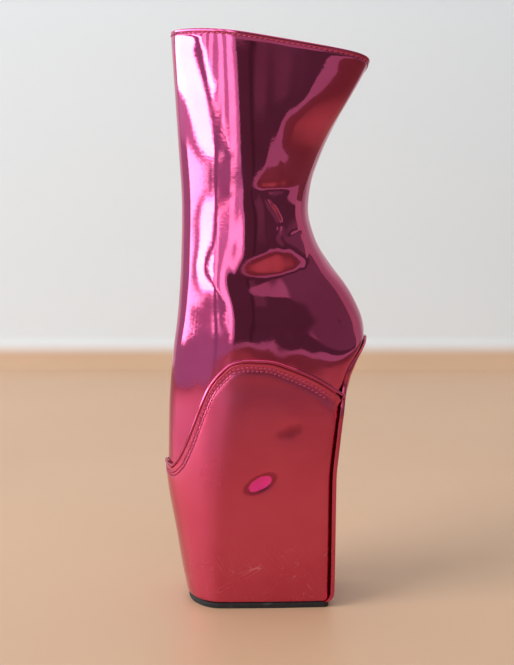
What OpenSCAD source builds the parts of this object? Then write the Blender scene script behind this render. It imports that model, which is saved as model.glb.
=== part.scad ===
// Heelless wedge ankle boot in metallic foil leather, with a zip on the inner side.
// Toe towards -X, heel towards +X, outer side towards -Y, inner side towards +Y.

/* [Overall size] */
// Height of the rim at the front
boot_height = 435; // [360:1:525]
// Depth from the front of the wedge to the heel lip
boot_depth = 156; // [130:1:190]
// Width of the wedge core at its widest
boot_width = 76; // [62:1:92]
// How much lower the rim is at the back than at the front
rim_drop = 26; // [8:1:40]
// How far the rim rises above a straight line at the sides
rim_bow = 6; // [0:0.5:12]

/* [Upper] */
// Thickness of the foil leather of the upper
upper_t = 1.4; // [1:0.1:2]
// Thickness of the counter, puff and rim tape
stiff_t = 1; // [0.6:0.1:1.4]
// Thickness of the lining
lining_t = 0.8; // [0.6:0.1:1.2]
// Glue room between two layers
layer_gap = 0.3; // [0.25:0.05:0.5]
// Gap where two panels meet at a seam
seam_gap = 0.3; // [0.2:0.05:0.6]
// Width of the tape inside the rim
rim_tape_w = 12; // [8:1:18]
// Distance of the stitch row from the rim
rim_stitch = 3; // [2:0.5:6]

/* [Footbed] */
// Thickness of the steel shank
shank_t = 1.4; // [1:0.1:2]
// Thickness of the insole board
board_t = 1.6; // [1.2:0.1:2.4]
// Thickness of the padded sock liner
sock_t = 3; // [2:0.5:5]

/* [Wedge] */
// Thickness of the rubber outsole
outsole_t = 4.2; // [3:0.1:6]
// Height of the platform under the toe
platform_h = 15; // [10:1:20]
// Thickness of the leather wrap
wrap_t = 1.2; // [1:0.1:1.6]
// Radius of the rolled edge of the wrap
roll_r = 1.1; // [0.8:0.1:1.5]
// Distance of the upper stitch row from the wrap edge
wrap_stitch_1 = 3.5; // [2.5:0.5:5]
// Distance of the lower stitch row from the wrap edge
wrap_stitch_2 = 6.5; // [5.5:0.5:9]
// Thickness of the sole strip up the back
strip_t = 4.3; // [3:0.1:6]
// Radius of the back corners of the wedge
corner_r = 3; // [2:0.5:6]
// Share by which the wedge narrows to the back at its foot
wedge_taper = 0.08; // [0:0.01:0.15]

/* [Stitching] */
// Radius of the sewing thread
thread_r = 0.35; // [0.25:0.05:0.5]

/* [Zip] */
// Width of the slot for the zip in the upper
zip_slot = 10; // [9.6:0.2:14]
// Distance of the stitch rows from the edge of the slot
zip_stitch = 2; // [1.5:0.5:4]
// Distance of the zip end above the straight part of the side
zip_rise = 17; // [12:1:40]
// Distance of the top stops below the rim
zip_top_room = 7; // [6:1:15]
// Visible width of the two rows of teeth
chain_w = 5.4; // [5:0.2:6.4]
// Thickness of the teeth
teeth_t = 2.6; // [2.2:0.1:3]
// Free way between the two rows of teeth
teeth_way = 1.6; // [1.6:0.1:2]
// Room between the teeth and the tapes and stops
tooth_room = 0.2; // [0.1:0.05:0.4]
// Distance from tooth to tooth
tooth_pitch = 3.2; // [2.4:0.2:4]
// Width of each zip tape
tape_w = 11; // [9:1:13]
// Thickness of the zip tape
tape_t = 0.6; // [0.4:0.1:0.8]
// Height of the end stops
stop_h = 3; // [2:0.5:4]
// Length of the slider
slider_l = 12; // [10:0.5:15]
// Width of the slider
slider_w = 9; // [8.4:0.1:9]
// Thickness of the slider plates
slider_t = 1.2; // [1:0.1:1.6]
// Free room between the slider and what it runs past
slider_clear = 0.5; // [0.4:0.05:0.6]
// Radius of the pin that carries the pull
pin_r = 0.7; // [0.6:0.05:0.9]
// Running clearance of the pull on its pin
pin_clear = 0.05; // [0.03:0.01:0.08]
// Wall of the eye of the pull
eye_wall = 0.75; // [0.6:0.05:1]
// Length of the pull from its pin
pull_l = 26; // [18:1:28]
// Width of the pull
pull_w = 6.4; // [5:0.2:8]
// Thickness of the pull
pull_t = 1.2; // [0.9:0.1:1.4]

/* [Hidden] */
$fn = 48;

// The outlines below are drawn at this size and stretched to the sizes set above.
drawn_height = 435;
drawn_depth = 156;
drawn_width = 76;
kz = boot_height / drawn_height;
kx = boot_depth / drawn_depth;
ky = boot_width / drawn_width;

// Outlines of the upper as [height, place]: front, back, widest place and the two half widths.
front_line = [[0, -46], [20, -53], [40, -60.5], [60, -67], [80, -72.5], [105, -76.4], [150, -75.6],
    [190, -72.5], [230, -67], [270, -65], [305, -64.2], [350, -66.5], [400, -69.6], [445, -72.5]];
back_line = [[0, -26], [20, -20], [45, -12], [70, -4], [95, 7], [118, 20], [140, 36], [153, 48],
    [164, 55.5], [178, 60.4], [187, 65], [194, 69.4], [201, 73.6], [208, 75.8], [218, 74.5], [232, 69],
    [246, 61], [262, 48.5], [282, 37], [303, 32], [322, 34], [342, 40.5], [365, 51], [390, 65],
    [412, 77.5], [445, 97]];
middle_line = [[0, -34], [40, -33], [80, -27], [120, -18], [160, -8], [195, -2], [445, -2]];
inner_half = [[0, 22], [20, 25], [40, 28], [80, 32], [120, 34.5], [160, 36], [195, 37], [445, 37]];
outer_half = [[0, 22], [20, 25], [40, 28], [80, 32], [120, 34.5], [160, 36], [195, 36.2], [240, 34.5],
    [300, 33], [350, 36.2], [400, 39.3], [445, 40.9]];
// How square the back of the upper is: 2 is an ellipse.
square_line = [[0, 2.6], [120, 2.8], [164, 7], [186, 6.5], [196, 5], [204, 3.6], [216, 2.5], [260, 2],
    [445, 2]];

// Outlines of the wedge core and of the sole strip behind it.
wedge_front = [[0, -59.3], [25, -64.5], [45, -67.6], [65, -71], [85, -74.6], [105, -76.4], [445, -70]];
wedge_half = [[0, 35.5], [40, 37], [95, 38], [150, 37.2], [200, 35], [445, 30]];
strip_back = [[0, 55], [100, 55.2], [125, 57.4], [147, 61.2], [160, 62.6], [170, 64.4], [180, 67.6],
    [190, 72.4], [197, 76.2], [202, 78.2], [206, 78]];
// The strip ends in a round tongue under the heel, between these heights.
strip_top = 206;
tongue_from = 178;
tongue_least = 0.2;

// Edges on the wedge as [turn from the front, height].
wrap_edge = [[0, 107], [24, 105], [36, 111], [44, 123], [50, 138], [55, 155], [60, 170], [66, 180],
    [73, 187.5], [82, 189.5], [92, 189], [103, 184], [117, 175.5], [127, 167.5], [134, 162], [144, 158]];
core_edge = [[0, 70], [45, 80], [90, 128], [135, 152], [180, 155]];

// Depths of the layers, from the outside of the upper inwards.
stiff_out = -upper_t - layer_gap;
stiff_in = stiff_out - stiff_t;
tape_out = stiff_out - layer_gap / 2;
lining_out = stiff_in - layer_gap;
lining_in = lining_out - lining_t;
shank_out = lining_in - layer_gap;
shank_in = shank_out - shank_t;
board_out = shank_in - layer_gap;
board_in = board_out - board_t;
sock_out = board_in - layer_gap;
sock_in = sock_out - sock_t;
// Room between the upper and the core, and depths of the layers on the wedge.
bed_gap = 0.6;
wrap_in = 0.3;
wrap_out = wrap_in + wrap_t;
strip_in = wrap_out + layer_gap;
outsole_out = wrap_out - 0.1;

platform_z = outsole_t + layer_gap;
platform_top = platform_z + platform_h;
toe_z = platform_top + layer_gap;

function mix(a, b, t) = a + (b - a) * t;
function part_of(p, x, i = 0) = i >= len(p) - 2 || x < p[i + 1][0] ? i : part_of(p, x, i + 1);
function rise(p, i) = (p[i + 1][1] - p[i][1]) / (p[i + 1][0] - p[i][0]);
// Slope at a point: level at a turn, else the harmonic mean of both sides, so that flats stay flat.
function slope(p, i) =
    i == 0 ? rise(p, 0) :
    i == len(p) - 1 ? rise(p, i - 1) :
    rise(p, i - 1) * rise(p, i) <= 0 ? 0 :
    2 * rise(p, i - 1) * rise(p, i) / (rise(p, i - 1) + rise(p, i));
// Smooth curve through the points of a list.
function curve(p, x) =
    let (i = part_of(p, x), h = p[i + 1][0] - p[i][0], t = (x - p[i][0]) / h)
    (1 + 2 * t) * (1 - t) ^ 2 * p[i][1] + t * (1 - t) ^ 2 * h * slope(p, i)
    + t ^ 2 * (3 - 2 * t) * p[i + 1][1] + t ^ 2 * (t - 1) * h * slope(p, i + 1);

// Half axes of the upper at a height.
function middle(z) = kx * curve(middle_line, z / kz);
function foot_front(z) = middle(z) - kx * curve(front_line, z / kz);
function foot_back(z) = kx * curve(back_line, z / kz) - middle(z);
function foot_half(z, inner) = ky * curve(inner ? inner_half : outer_half, z / kz);

// Point of the upper at a height and a turn from the back, d outside its outer face.
function foot_pt(z, turn, d) =
    let (c = cos(turn), s = sin(turn), e = c > 0 ? 2 / curve(square_line, z / kz) : 1)
    [middle(z) + (c > 0 ? foot_back(z) + d : -foot_front(z) - d) * abs(c) ^ e,
     (foot_half(z, s > 0) + d) * sign(s) * abs(s) ^ e, z];

// Height of the rim at a turn, and a height that is the share v from the toe to the rim.
function rim_z(turn) = boot_height - rim_drop * (1 + cos(turn)) / 2 + rim_bow * sin(turn) ^ 2;
function row_z(v, turn) = mix(toe_z, rim_z(turn), v);
function share_of(z, turn) = (z - toe_z) / (rim_z(turn) - toe_z);
function foot_at(v, turn, d) = foot_pt(row_z(v, turn), turn, d);

// Turn at which the upper lies dx behind (or, if negative, before) the middle of the zip.
function zip_turn(v, dx, d) =
    let (z = row_z(v, 90), back = foot_back(z) + d, front = foot_front(z) + d)
    dx >= 0 ? acos((dx / back) ^ (curve(square_line, z / kz) / 2)) : 90 + asin(-dx / front);

// Half axes and point of the wedge core at a height and a turn from the back, d outside its face.
function wedge_nose(z) = max(middle(z) - kx * curve(wedge_front, z / kz), foot_front(z) + layer_gap);
function wedge_tail(z) =
    max(kx * curve(strip_back, min(z / kz, strip_top)) - strip_t - strip_in - middle(z),
        foot_back(z) + layer_gap);
function wedge_side(z, inner) = max(ky * curve(wedge_half, z / kz), foot_half(z, inner) + layer_gap);
// Share by which the wedge narrows to the back: none where it meets the heel of the upper.
taper_end = 150;
function narrow(z) = wedge_taper * max(1 - z / kz / taper_end, 0);
// Back half of the wedge: a side that narrows, a round corner and a flat back.
corner_from = 50;
corner_to = 40;
function wedge_back(turn, a, b, r, taper) =
    let (flat = b * (1 - taper), t = (90 - turn) / (90 - corner_from))
    turn >= corner_from ? [(a - r) * t, b * (1 - taper * t ^ 2)] :
    turn >= corner_to ?
        let (k = 90 * (turn - corner_to) / (corner_from - corner_to))
        [a - r + r * cos(k), flat - r + r * sin(k)] :
    [a, (flat - r) * turn / corner_to];
function wedge_pt(z, turn, d) =
    let (c = cos(turn), s = sin(turn), b = wedge_side(z, s > 0) + d,
         q = c > 0 ? wedge_back(acos(c), wedge_tail(z) + d, b, corner_r + d, narrow(z))
             : [(wedge_nose(z) + d) * c, b * abs(s)])
    [middle(z) + q[0], sign(s) * q[1], z];

// Height of the edge of the wrap at a turn from the back.
function from_front(turn) = abs(180 - turn);
function wrap_top(turn) = kz * curve(wrap_edge, from_front(turn));
function core_top(turn) = kz * curve(core_edge, from_front(turn));
// Point on the wrap that lies off below its edge, measured square to the edge.
edge_step = 1;
function wrap_pt(turn, off, d) =
    let (p = wedge_pt(wrap_top(turn), turn, d),
         q = wedge_pt(wrap_top(turn + edge_step), turn + edge_step, d),
         run = norm([q[0] - p[0], q[1] - p[1]]), up = q[2] - p[2], len = norm([run, up]))
    wedge_pt(p[2] - off * run / len, turn + edge_step * off * up / len / run, d);

// Closed sheet between an outer and an inner grid of points: rows go up, columns go round.
function flat_list(g) = [for (row = g, p = row) p];
function two(a, b, c, d) = [[a, b, c], [a, c, d]];
function pair_up(lists) = [for (l = lists, f = l) f];
module sheet(outer, inner, ring = false) {
    n = len(outer);
    m = len(outer[0]);
    last = ring ? m - 1 : m - 2;
    function o(i, j) = i * m + j % m;
    function k(i, j) = n * m + i * m + j % m;
    faces = concat(
        pair_up([for (i = [0:n - 2], j = [0:last]) two(o(i, j), o(i + 1, j), o(i + 1, j + 1), o(i, j + 1))]),
        pair_up([for (i = [0:n - 2], j = [0:last]) two(k(i, j), k(i, j + 1), k(i + 1, j + 1), k(i + 1, j))]),
        pair_up([for (j = [0:last]) two(o(0, j), o(0, j + 1), k(0, j + 1), k(0, j))]),
        pair_up([for (j = [0:last]) two(o(n - 1, j + 1), o(n - 1, j), k(n - 1, j), k(n - 1, j + 1))]),
        ring ? [] : pair_up([for (i = [0:n - 2]) two(o(i + 1, 0), o(i, 0), k(i, 0), k(i + 1, 0))]),
        ring ? [] : pair_up([for (i = [0:n - 2])
            two(o(i, m - 1), o(i + 1, m - 1), k(i + 1, m - 1), k(i, m - 1))]));
    polyhedron(concat(flat_list(outer), flat_list(inner)), faces);
}

// Closed solid through a stack of rings of points, each end closed by a fan round its centre.
function total(list, i = 0) = i == len(list) - 1 ? list[i] : list[i] + total(list, i + 1);
function centre(ring) = total(ring) / len(ring);
module stack(rings) {
    n = len(rings);
    m = len(rings[0]);
    function o(i, j) = i * m + j % m;
    polyhedron(concat(flat_list(rings), [centre(rings[0]), centre(rings[n - 1])]), concat(
        pair_up([for (i = [0:n - 2], j = [0:m - 1]) two(o(i, j), o(i + 1, j), o(i + 1, j + 1), o(i, j + 1))]),
        [for (j = [0:m - 1]) [n * m, o(0, j), o(0, j + 1)]],
        [for (j = [0:m - 1]) [n * m + 1, o(n - 1, j + 1), o(n - 1, j)]]));
}

// Round cord along a path, with one direction given at each point that is roughly square to the path.
cord_sides = 5;
function unit(v) = v / norm(v);
module cord(path, r) {
    n = len(path);
    function along(i) = unit(path[min(i + 1, n - 1)] - path[max(i - 1, 0)]);
    stack([for (i = [0:n - 1])
        let (t = along(i), a = unit(cross(t, [0.2, 0.3, 1])), b = cross(t, a))
        [for (k = [0:cord_sides - 1])
            let (w = 360 * k / cord_sides) path[i] + r * (cos(w) * a + sin(w) * b)]]);
}

// Rows of the upper as shares of the way from the toe to the rim, with two at the end of the zip.
straight_z = kz * 195;
zip_z = straight_z + zip_rise;
slot_end = 4;
zip_v = share_of(zip_z, 90);
slot_v = share_of(zip_z - slot_end, 90);
tape_v = 1 - rim_tape_w / (rim_z(90) - toe_z);
low_rows = 17;
high_rows = 12;
low_v = [for (i = [0:low_rows - 1]) slot_v * i / (low_rows - 1)];
high_v = [for (i = [0:high_rows - 1]) mix(zip_v, tape_v, i / (high_rows - 1))];
all_v = concat(low_v, high_v, [1]);
turn_step = 9;

// Piece of the upper between two turns, in the layer from d_in to d_out.
module layer(rows, turns, d_in, d_out) {
    sheet([for (v = rows) [for (t = turns(v)) foot_at(v, t, d_out)]],
          [for (v = rows) [for (t = turns(v)) foot_at(v, t, d_in)]]);
}
// Turn of a panel's edge beside the zip slot: half a slot away above its end, half a seam below it.
function slot_half(v, half) = v > (slot_v + zip_v) / 2 ? half : seam_gap / 2;
seam_turn = asin(seam_gap / 2 / foot_half(boot_height / 2, false));
// Turns of the columns that lie behind the zip slot, round the back and before the slot.
slot_first = 99;
rear_turns = concat([for (t = [turn_step:turn_step:72]) t], [77]);
round_turns = concat([for (t = [slot_first:turn_step:360]) t], [for (t = rear_turns) 360 + t]);
zip_half = zip_slot / 2;
lining_half = zip_half + 1;
leather = "#d8386f";

module outer_quarter() {
    color(leather)
        layer(all_v, function (v) concat([180 + seam_turn], [for (t = [189:turn_step:351]) t],
            [360 - seam_turn]), -upper_t, 0);
}

module inner_front_quarter() {
    color(leather)
        layer(all_v, function (v) concat([zip_turn(v, -slot_half(v, zip_half), 0)],
            [for (t = [slot_first:turn_step:171]) t], [180 - seam_turn]), -upper_t, 0);
}

module inner_rear_quarter() {
    color(leather)
        layer(all_v, function (v) concat([seam_turn], rear_turns,
            [zip_turn(v, slot_half(v, zip_half), 0)]), -upper_t, 0);
}

module lining() {
    color("#30262b")
        layer(all_v, function (v) concat([zip_turn(v, -slot_half(v, lining_half), lining_out)],
            round_turns, [360 + zip_turn(v, slot_half(v, lining_half), lining_out)]),
            lining_in, lining_out);
}

// The stiffeners lie between the upper and the lining.
counter_turn = 63;
counter_rows = [for (i = [14:20]) i];
puff_turn = 54;
puff_rows = [for (i = [0:5]) i];

module heel_counter() {
    color("#c9b48a")
        layer([for (i = counter_rows) all_v[i]],
            function (v) [for (t = [-counter_turn:turn_step:counter_turn]) t], stiff_in, stiff_out);
}

module toe_puff() {
    color("#c9b48a")
        layer([for (i = puff_rows) all_v[i]],
            function (v) [for (t = [180 - puff_turn:turn_step:180 + puff_turn]) t], stiff_in, stiff_out);
}

// The rim tape stops below the turned edge and beside the zip tapes.
tape_near = chain_w / 2 + tooth_room;
tape_far = tape_near + tape_w;
tape_room = 1;
turned_edge = 2;
rim_tape_v = 1 - turned_edge / (rim_z(90) - toe_z);
module rim_tape() {
    color("#e8e2d8")
        layer([tape_v, rim_tape_v], function (v) concat([zip_turn(v, -tape_far - tape_room, stiff_out)],
            [for (t = round_turns) if (t > slot_first) t],
            [360 + zip_turn(v, tape_far + tape_room, stiff_out)]), stiff_in, stiff_out);
}

// The footbed lies on the back wall of the upper, which is the sole of the foot.
bed_v = [for (i = [1:12]) all_v[i]];
bed_turn = 45;
shank_turn = 9;
module shank() {
    color("#8f959b")
        layer([for (i = [4:11]) all_v[i]], function (v) [-shank_turn, 0, shank_turn],
            shank_in, shank_out);
}

module insole_board() {
    color("#b08d5b")
        layer(bed_v, function (v) [for (t = [-bed_turn:turn_step:bed_turn]) t], board_in, board_out);
}

module sock_liner() {
    color("#43343b")
        layer(bed_v, function (v) [for (t = [-bed_turn:turn_step:bed_turn]) t], sock_in, sock_out);
}

// Turns that follow the flat back, the corners, the sides and the round front of the wedge.
back_turns = [0, 10, 20, 30];
side_turns = [40, 43, 47, 50, 58, 66, 74, 82];
front_turns = [for (t = [90:9:171]) t];
half_turns = concat(back_turns, side_turns, front_turns);
wedge_turns = concat(half_turns, [180], [for (i = [len(half_turns) - 1:-1:1]) 360 - half_turns[i]]);
core_rows = 11;

module wedge_core() {
    color("#caa777")
        sheet([for (i = [0:core_rows - 1]) [for (t = wedge_turns)
                wedge_pt(mix(platform_top, core_top(t), i / (core_rows - 1)), t, 0)]],
              [for (i = [0:core_rows - 1]) [for (t = wedge_turns)
                foot_pt(mix(platform_top, core_top(t), i / (core_rows - 1)), t, bed_gap)]], ring = true);
}

module base_platform() {
    color("#b9925f")
        stack([for (z = [platform_z, (platform_z + platform_top) / 2, platform_top])
            [for (t = wedge_turns) wedge_pt(z, t, 0)]]);
}

// The wrap has its edge drawn with close columns where it climbs steeply.
climb_turns = [for (t = [94:4:146]) t];
toe_turns = [152, 160, 170];
wrap_half = concat(side_turns, [90], climb_turns, toe_turns);
wrap_turns = concat(wrap_half, [180], [for (i = [len(wrap_half) - 1:-1:0]) 360 - wrap_half[i]]);
wrap_rows = 9;
module wedge_wrap() {
    color(leather)
        sheet([for (i = [0:wrap_rows - 1]) [for (t = wrap_turns)
                wedge_pt(mix(platform_z, wrap_top(t), i / (wrap_rows - 1)), t, wrap_out)]],
              [for (i = [0:wrap_rows - 1]) [for (t = wrap_turns)
                wedge_pt(mix(platform_z, wrap_top(t), i / (wrap_rows - 1)), t, wrap_in)]]);
}

// The rolled edge and the two stitch rows run along the wrap from strip to strip.
edge_from = 52;
edge_turns = concat([for (t = [edge_from:6:100]) t], [for (t = [104:3:146]) t],
    [for (t = [152:8:176]) t]);
edge_path = concat(edge_turns, [180], [for (i = [len(edge_turns) - 1:-1:0]) 360 - edge_turns[i]]);
thread_lift = 2.5 * thread_r;
module wrap_rolled_edge() {
    color(leather)
        cord([for (t = edge_path) wrap_pt(t, -roll_r - 1.5 * layer_gap, wrap_in + roll_r)], roll_r);
}

module wrap_thread_upper() {
    color("#b02a55")
        cord([for (t = edge_path) wrap_pt(t, wrap_stitch_1, wrap_out + thread_lift)], thread_r);
}

module wrap_thread_lower() {
    color("#b02a55")
        cord([for (t = edge_path) wrap_pt(t, wrap_stitch_2, wrap_out + thread_lift)], thread_r);
}

// The sole strip: a flat band with rounded outer edges that ends in a lip under the heel.
strip_from = 1.5;
straight_rows = 16;
tongue_rows = 8;
strip_round = 1.5;
least_strip = 2;
strip_z = concat([for (i = [0:straight_rows - 1]) mix(strip_from, kz * tongue_from, i / straight_rows)],
    [for (i = [0:tongue_rows]) mix(kz * tongue_from, kz * strip_top, sin(90 * i / tongue_rows))]);
function tongue(z) =
    let (t = max((z / kz - tongue_from) / (strip_top - tongue_from), 0))
    sqrt(max(1 - t ^ 2, tongue_least ^ 2));
function strip_ring(z) =
    let (x0 = middle(z) + wedge_tail(z) + strip_in,
         x1 = max(kx * curve(strip_back, z / kz), x0 + least_strip),
         h = (wedge_side(z, false) * (1 - narrow(z)) + wrap_out) * tongue(z),
         r = min(strip_round, (x1 - x0) / 2),
         arc = [for (a = [0, 45, 90]) [x1 - r + r * cos(a), h - r + r * sin(a)]])
    concat([[x0, 0, z], [x0, -h, z]], [for (i = [2:-1:0]) [arc[i][0], -arc[i][1], z]], [[x1, 0, z]],
        [for (p = arc) [p[0], p[1], z]], [[x0, h, z]]);
module back_sole() {
    color(leather)
        stack([for (z = strip_z) strip_ring(z)]);
}

module outsole() {
    color("#17161a")
        linear_extrude(outsole_t)
            polygon([for (t = wedge_turns) let (p = wedge_pt(0, t, outsole_out)) [p[0], p[1]]]);
}

// Rim stitching, from one side of the zip to the other.
module rim_thread() {
    turns = concat([zip_turn(1, -zip_half - zip_stitch, 0)],
        [for (t = [slot_first:turn_step / 2:432]) t],
        [360 + zip_turn(1, zip_half + zip_stitch, 0)]);
    color("#b02a55")
        cord([for (t = turns) foot_pt(rim_z(t) - rim_stitch, t, thread_lift)], thread_r);
}

// Zip: its chain lies straight up the inner side, in the plane of the tapes.
zip_x = middle(boot_height);
zip_y = foot_half(boot_height, true);
zip_top = rim_z(90) - zip_top_room;
chain_y = zip_y + tape_out - tape_t / 2;
chain_from = zip_z + stop_h + tooth_room;
chain_to = zip_top - stop_h - tooth_room;
zip_rows = concat(high_v, [rim_tape_v]);

module zip_tape(side) {
    near = function (v) zip_turn(v, side * tape_near, tape_out);
    far = function (v) zip_turn(v, side * tape_far, tape_out);
    color("#2a2024")
        layer(zip_rows, function (v) let (a = min(near(v), far(v)), b = max(near(v), far(v)))
            [a, mix(a, b, 1 / 3), mix(a, b, 2 / 3), b], tape_out - tape_t, tape_out);
}
module zip_tape_front() { zip_tape(-1); }
module zip_tape_rear() { zip_tape(1); }

// One row of teeth as a comb, its teeth set half a pitch higher on the rear row.
tooth_h = tooth_pitch / 2;
tooth_root = 0.8;
module zip_teeth(side, shift) {
    count = floor((chain_to - chain_from - tooth_h) / tooth_pitch);
    near = teeth_way / 2;
    far = chain_w / 2;
    root = far - tooth_root;
    comb = concat([[far, chain_from]], [for (i = [0:count - 1])
            let (z = chain_from + shift + i * tooth_pitch)
            each [[root, z], [near, z + tooth_h / 4], [near, z + tooth_h * 3 / 4], [root, z + tooth_h]]],
        [[root, chain_to], [far, chain_to]]);
    color("#c3415f")
        translate([zip_x, chain_y + teeth_t / 2, 0])
            rotate([90, 0, 0])
                linear_extrude(teeth_t)
                    polygon([for (p = comb) [side * p[0], p[1]]]);
}
module zip_teeth_front() { zip_teeth(-1, 0.1); }
module zip_teeth_rear() { zip_teeth(1, 0.1 + tooth_h); }

module zip_top_stops() {
    color("#c8ccd0")
        for (side = [-1, 1])
            translate([zip_x + side * (teeth_way / 2 + chain_w / 2) / 2, chain_y, zip_top - stop_h / 2])
                cube([chain_w / 2 - teeth_way / 2, teeth_t, stop_h], center = true);
}

module zip_bottom_stop() {
    color("#c8ccd0")
        translate([zip_x, chain_y, zip_z + stop_h / 2])
            cube([chain_w, teeth_t, stop_h], center = true);
}

// Leather flap behind the zip, held along its front edge.
guard_t = 0.8;
guard_edge = 13;
guard_bend = 6.5;
narrow_z = 305;
plate_room = teeth_t / 2 + slider_clear + slider_t;
guard_y = chain_y - plate_room - slider_clear;
module zip_guard() {
    held_at = guard_edge / (foot_front(kz * narrow_z) + lining_in);
    held_y = (zip_y + lining_in) * sqrt(1 - held_at ^ 2) - layer_gap;
    color("#5a4048")
        translate([zip_x, 0, zip_z])
            linear_extrude(chain_to - zip_z)
                polygon([[-guard_edge, held_y], [-guard_bend - guard_t, held_y], [-guard_bend, guard_y],
                    [guard_bend, guard_y], [guard_bend, guard_y - guard_t],
                    [-guard_bend - guard_t, guard_y - guard_t],
                    [-guard_bend - 2 * guard_t, held_y - guard_t], [-guard_edge, held_y - guard_t]]);
}

thread_rows = concat(high_v, [1 - (rim_stitch + zip_stitch) / (rim_z(90) - toe_z)]);
module zip_thread(side) {
    color("#b02a55")
        cord([for (v = thread_rows)
            foot_at(v, zip_turn(v, side * (zip_half + zip_stitch), 0), thread_lift)], thread_r);
}
module zip_thread_front() { zip_thread(-1); }
module zip_thread_rear() { zip_thread(1); }

// Slider at its closed place under the top stops, and the pull that hangs from its pin.
slider_z = zip_top - stop_h - slider_clear - slider_l / 2;
plate_y = chain_y + teeth_t / 2 + slider_clear;
plate_top = plate_y + slider_t;
eye_r = pin_r + pin_clear + eye_wall;
pin_y = plate_top + eye_r + slider_clear;
pin_z = slider_z + slider_l / 4;
eye_half = 1.5;
ear_in = eye_half + slider_clear;
ear_out = ear_in + 0.9;
ear_r = pin_r + 0.8;
flange_w = 1;
flange_h = 0.6;
post_w = teeth_way - 2 * slider_clear;
nose_r = slider_w / 2;

// Outline of a slider plate: a round top end and a narrower tail.
module slider_plate() {
    linear_extrude(slider_t)
        union() {
            translate([-slider_w / 2, -slider_l / 4])
                square([slider_w, slider_l * 3 / 4 - nose_r]);
            translate([0, slider_l / 2 - nose_r])
                circle(nose_r);
            polygon([[-slider_w / 2, -slider_l / 4], [slider_w / 2, -slider_l / 4],
                [slider_w / 3, -slider_l / 2], [-slider_w / 3, -slider_l / 2]]);
        }
}

module zip_slider() {
    color("#d0d3d8")
        union() {
            for (y = [plate_top, chain_y - plate_room + slider_t])
                translate([zip_x, y, slider_z])
                    rotate([90, 0, 0])
                        slider_plate();
            translate([zip_x - post_w / 2, chain_y - plate_room + slider_t / 2, slider_z + slider_l / 8])
                cube([post_w, plate_y - chain_y + plate_room, slider_l / 4]);
            for (side = [-1, 1]) {
                translate([zip_x + side * (slider_w - flange_w) / 2, plate_y - flange_h / 2 + 0.05,
                    slider_z])
                    cube([flange_w, flange_h, slider_l / 2], center = true);
                translate([zip_x + side * (ear_in + ear_out) / 2, (plate_top + pin_y) / 2 - 0.1, pin_z])
                    cube([ear_out - ear_in, pin_y - plate_top + 0.2, 2 * ear_r], center = true);
                translate([zip_x + side * (ear_in + ear_out) / 2, pin_y, pin_z])
                    rotate([0, 90, 0])
                        cylinder(r = ear_r, h = ear_out - ear_in, center = true);
            }
            translate([zip_x, pin_y, pin_z])
                rotate([0, 90, 0])
                    cylinder(r = pin_r, h = 2 * ear_in + 0.4, center = true);
        }
}

// The pull: an eye on the pin, a narrow neck between the ears and a tab with a long window.
neck_l = ear_r + 1.5;
window_w = pull_w / 2.6;
window_l = pull_l / 2;
module zip_pull() {
    color("#d0d3d8")
        translate([zip_x, pin_y, pin_z])
            difference() {
                union() {
                    rotate([0, 90, 0])
                        cylinder(r = eye_r, h = 2 * eye_half, center = true);
                    translate([0, pull_t / 2, 0])
                        rotate([90, 0, 0])
                            linear_extrude(pull_t) {
                                translate([-eye_half, -neck_l - 1])
                                    square([2 * eye_half, neck_l + 1 - eye_r / 2]);
                                translate([-pull_w / 2, -pull_l + pull_w / 2])
                                    square([pull_w, pull_l - neck_l - pull_w / 2]);
                                translate([0, -pull_l + pull_w / 2])
                                    circle(pull_w / 2);
                            }
                }
                rotate([0, 90, 0])
                    cylinder(r = pin_r + pin_clear, h = 4 * eye_half, center = true);
                translate([0, 0, -pull_l + pull_w / 2 + window_l / 2])
                    cube([window_w, 3 * pull_t, window_l], center = true);
            }
}

outer_quarter();
inner_front_quarter();
inner_rear_quarter();
lining();
heel_counter();
toe_puff();
rim_tape();
shank();
insole_board();
sock_liner();
wedge_core();
base_platform();
wedge_wrap();
wrap_rolled_edge();
back_sole();
outsole();
rim_thread();
wrap_thread_upper();
wrap_thread_lower();
zip_tape_front();
zip_tape_rear();
zip_teeth_front();
zip_teeth_rear();
zip_top_stops();
zip_bottom_stop();
zip_guard();
zip_thread_front();
zip_thread_rear();
zip_slider();
zip_pull();
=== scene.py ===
# %% [markdown]
# # A heelless wedge ankle boot in pink foil leather
#
# The boot stands on a tall wedge, with its toe towards -X, its heel towards +X, its outer side towards
# -Y and the zip on its inner side, towards +Y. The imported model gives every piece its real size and
# place. This lesson puts a finished surface over each piece, then lights it as in a small studio.

import bmesh
import bpy
import numpy as np
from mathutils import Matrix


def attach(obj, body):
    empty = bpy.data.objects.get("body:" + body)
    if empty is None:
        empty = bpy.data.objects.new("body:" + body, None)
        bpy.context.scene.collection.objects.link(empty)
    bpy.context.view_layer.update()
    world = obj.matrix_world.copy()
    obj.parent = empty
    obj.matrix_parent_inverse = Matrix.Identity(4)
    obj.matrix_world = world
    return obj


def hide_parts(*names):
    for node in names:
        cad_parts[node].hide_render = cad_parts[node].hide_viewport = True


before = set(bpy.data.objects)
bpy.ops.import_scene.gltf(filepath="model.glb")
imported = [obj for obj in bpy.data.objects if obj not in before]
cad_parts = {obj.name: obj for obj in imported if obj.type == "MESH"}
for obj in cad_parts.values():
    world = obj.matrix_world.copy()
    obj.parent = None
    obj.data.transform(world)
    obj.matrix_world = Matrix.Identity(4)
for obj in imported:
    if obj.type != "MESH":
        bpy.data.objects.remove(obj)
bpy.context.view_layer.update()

MM = 0.001

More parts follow.
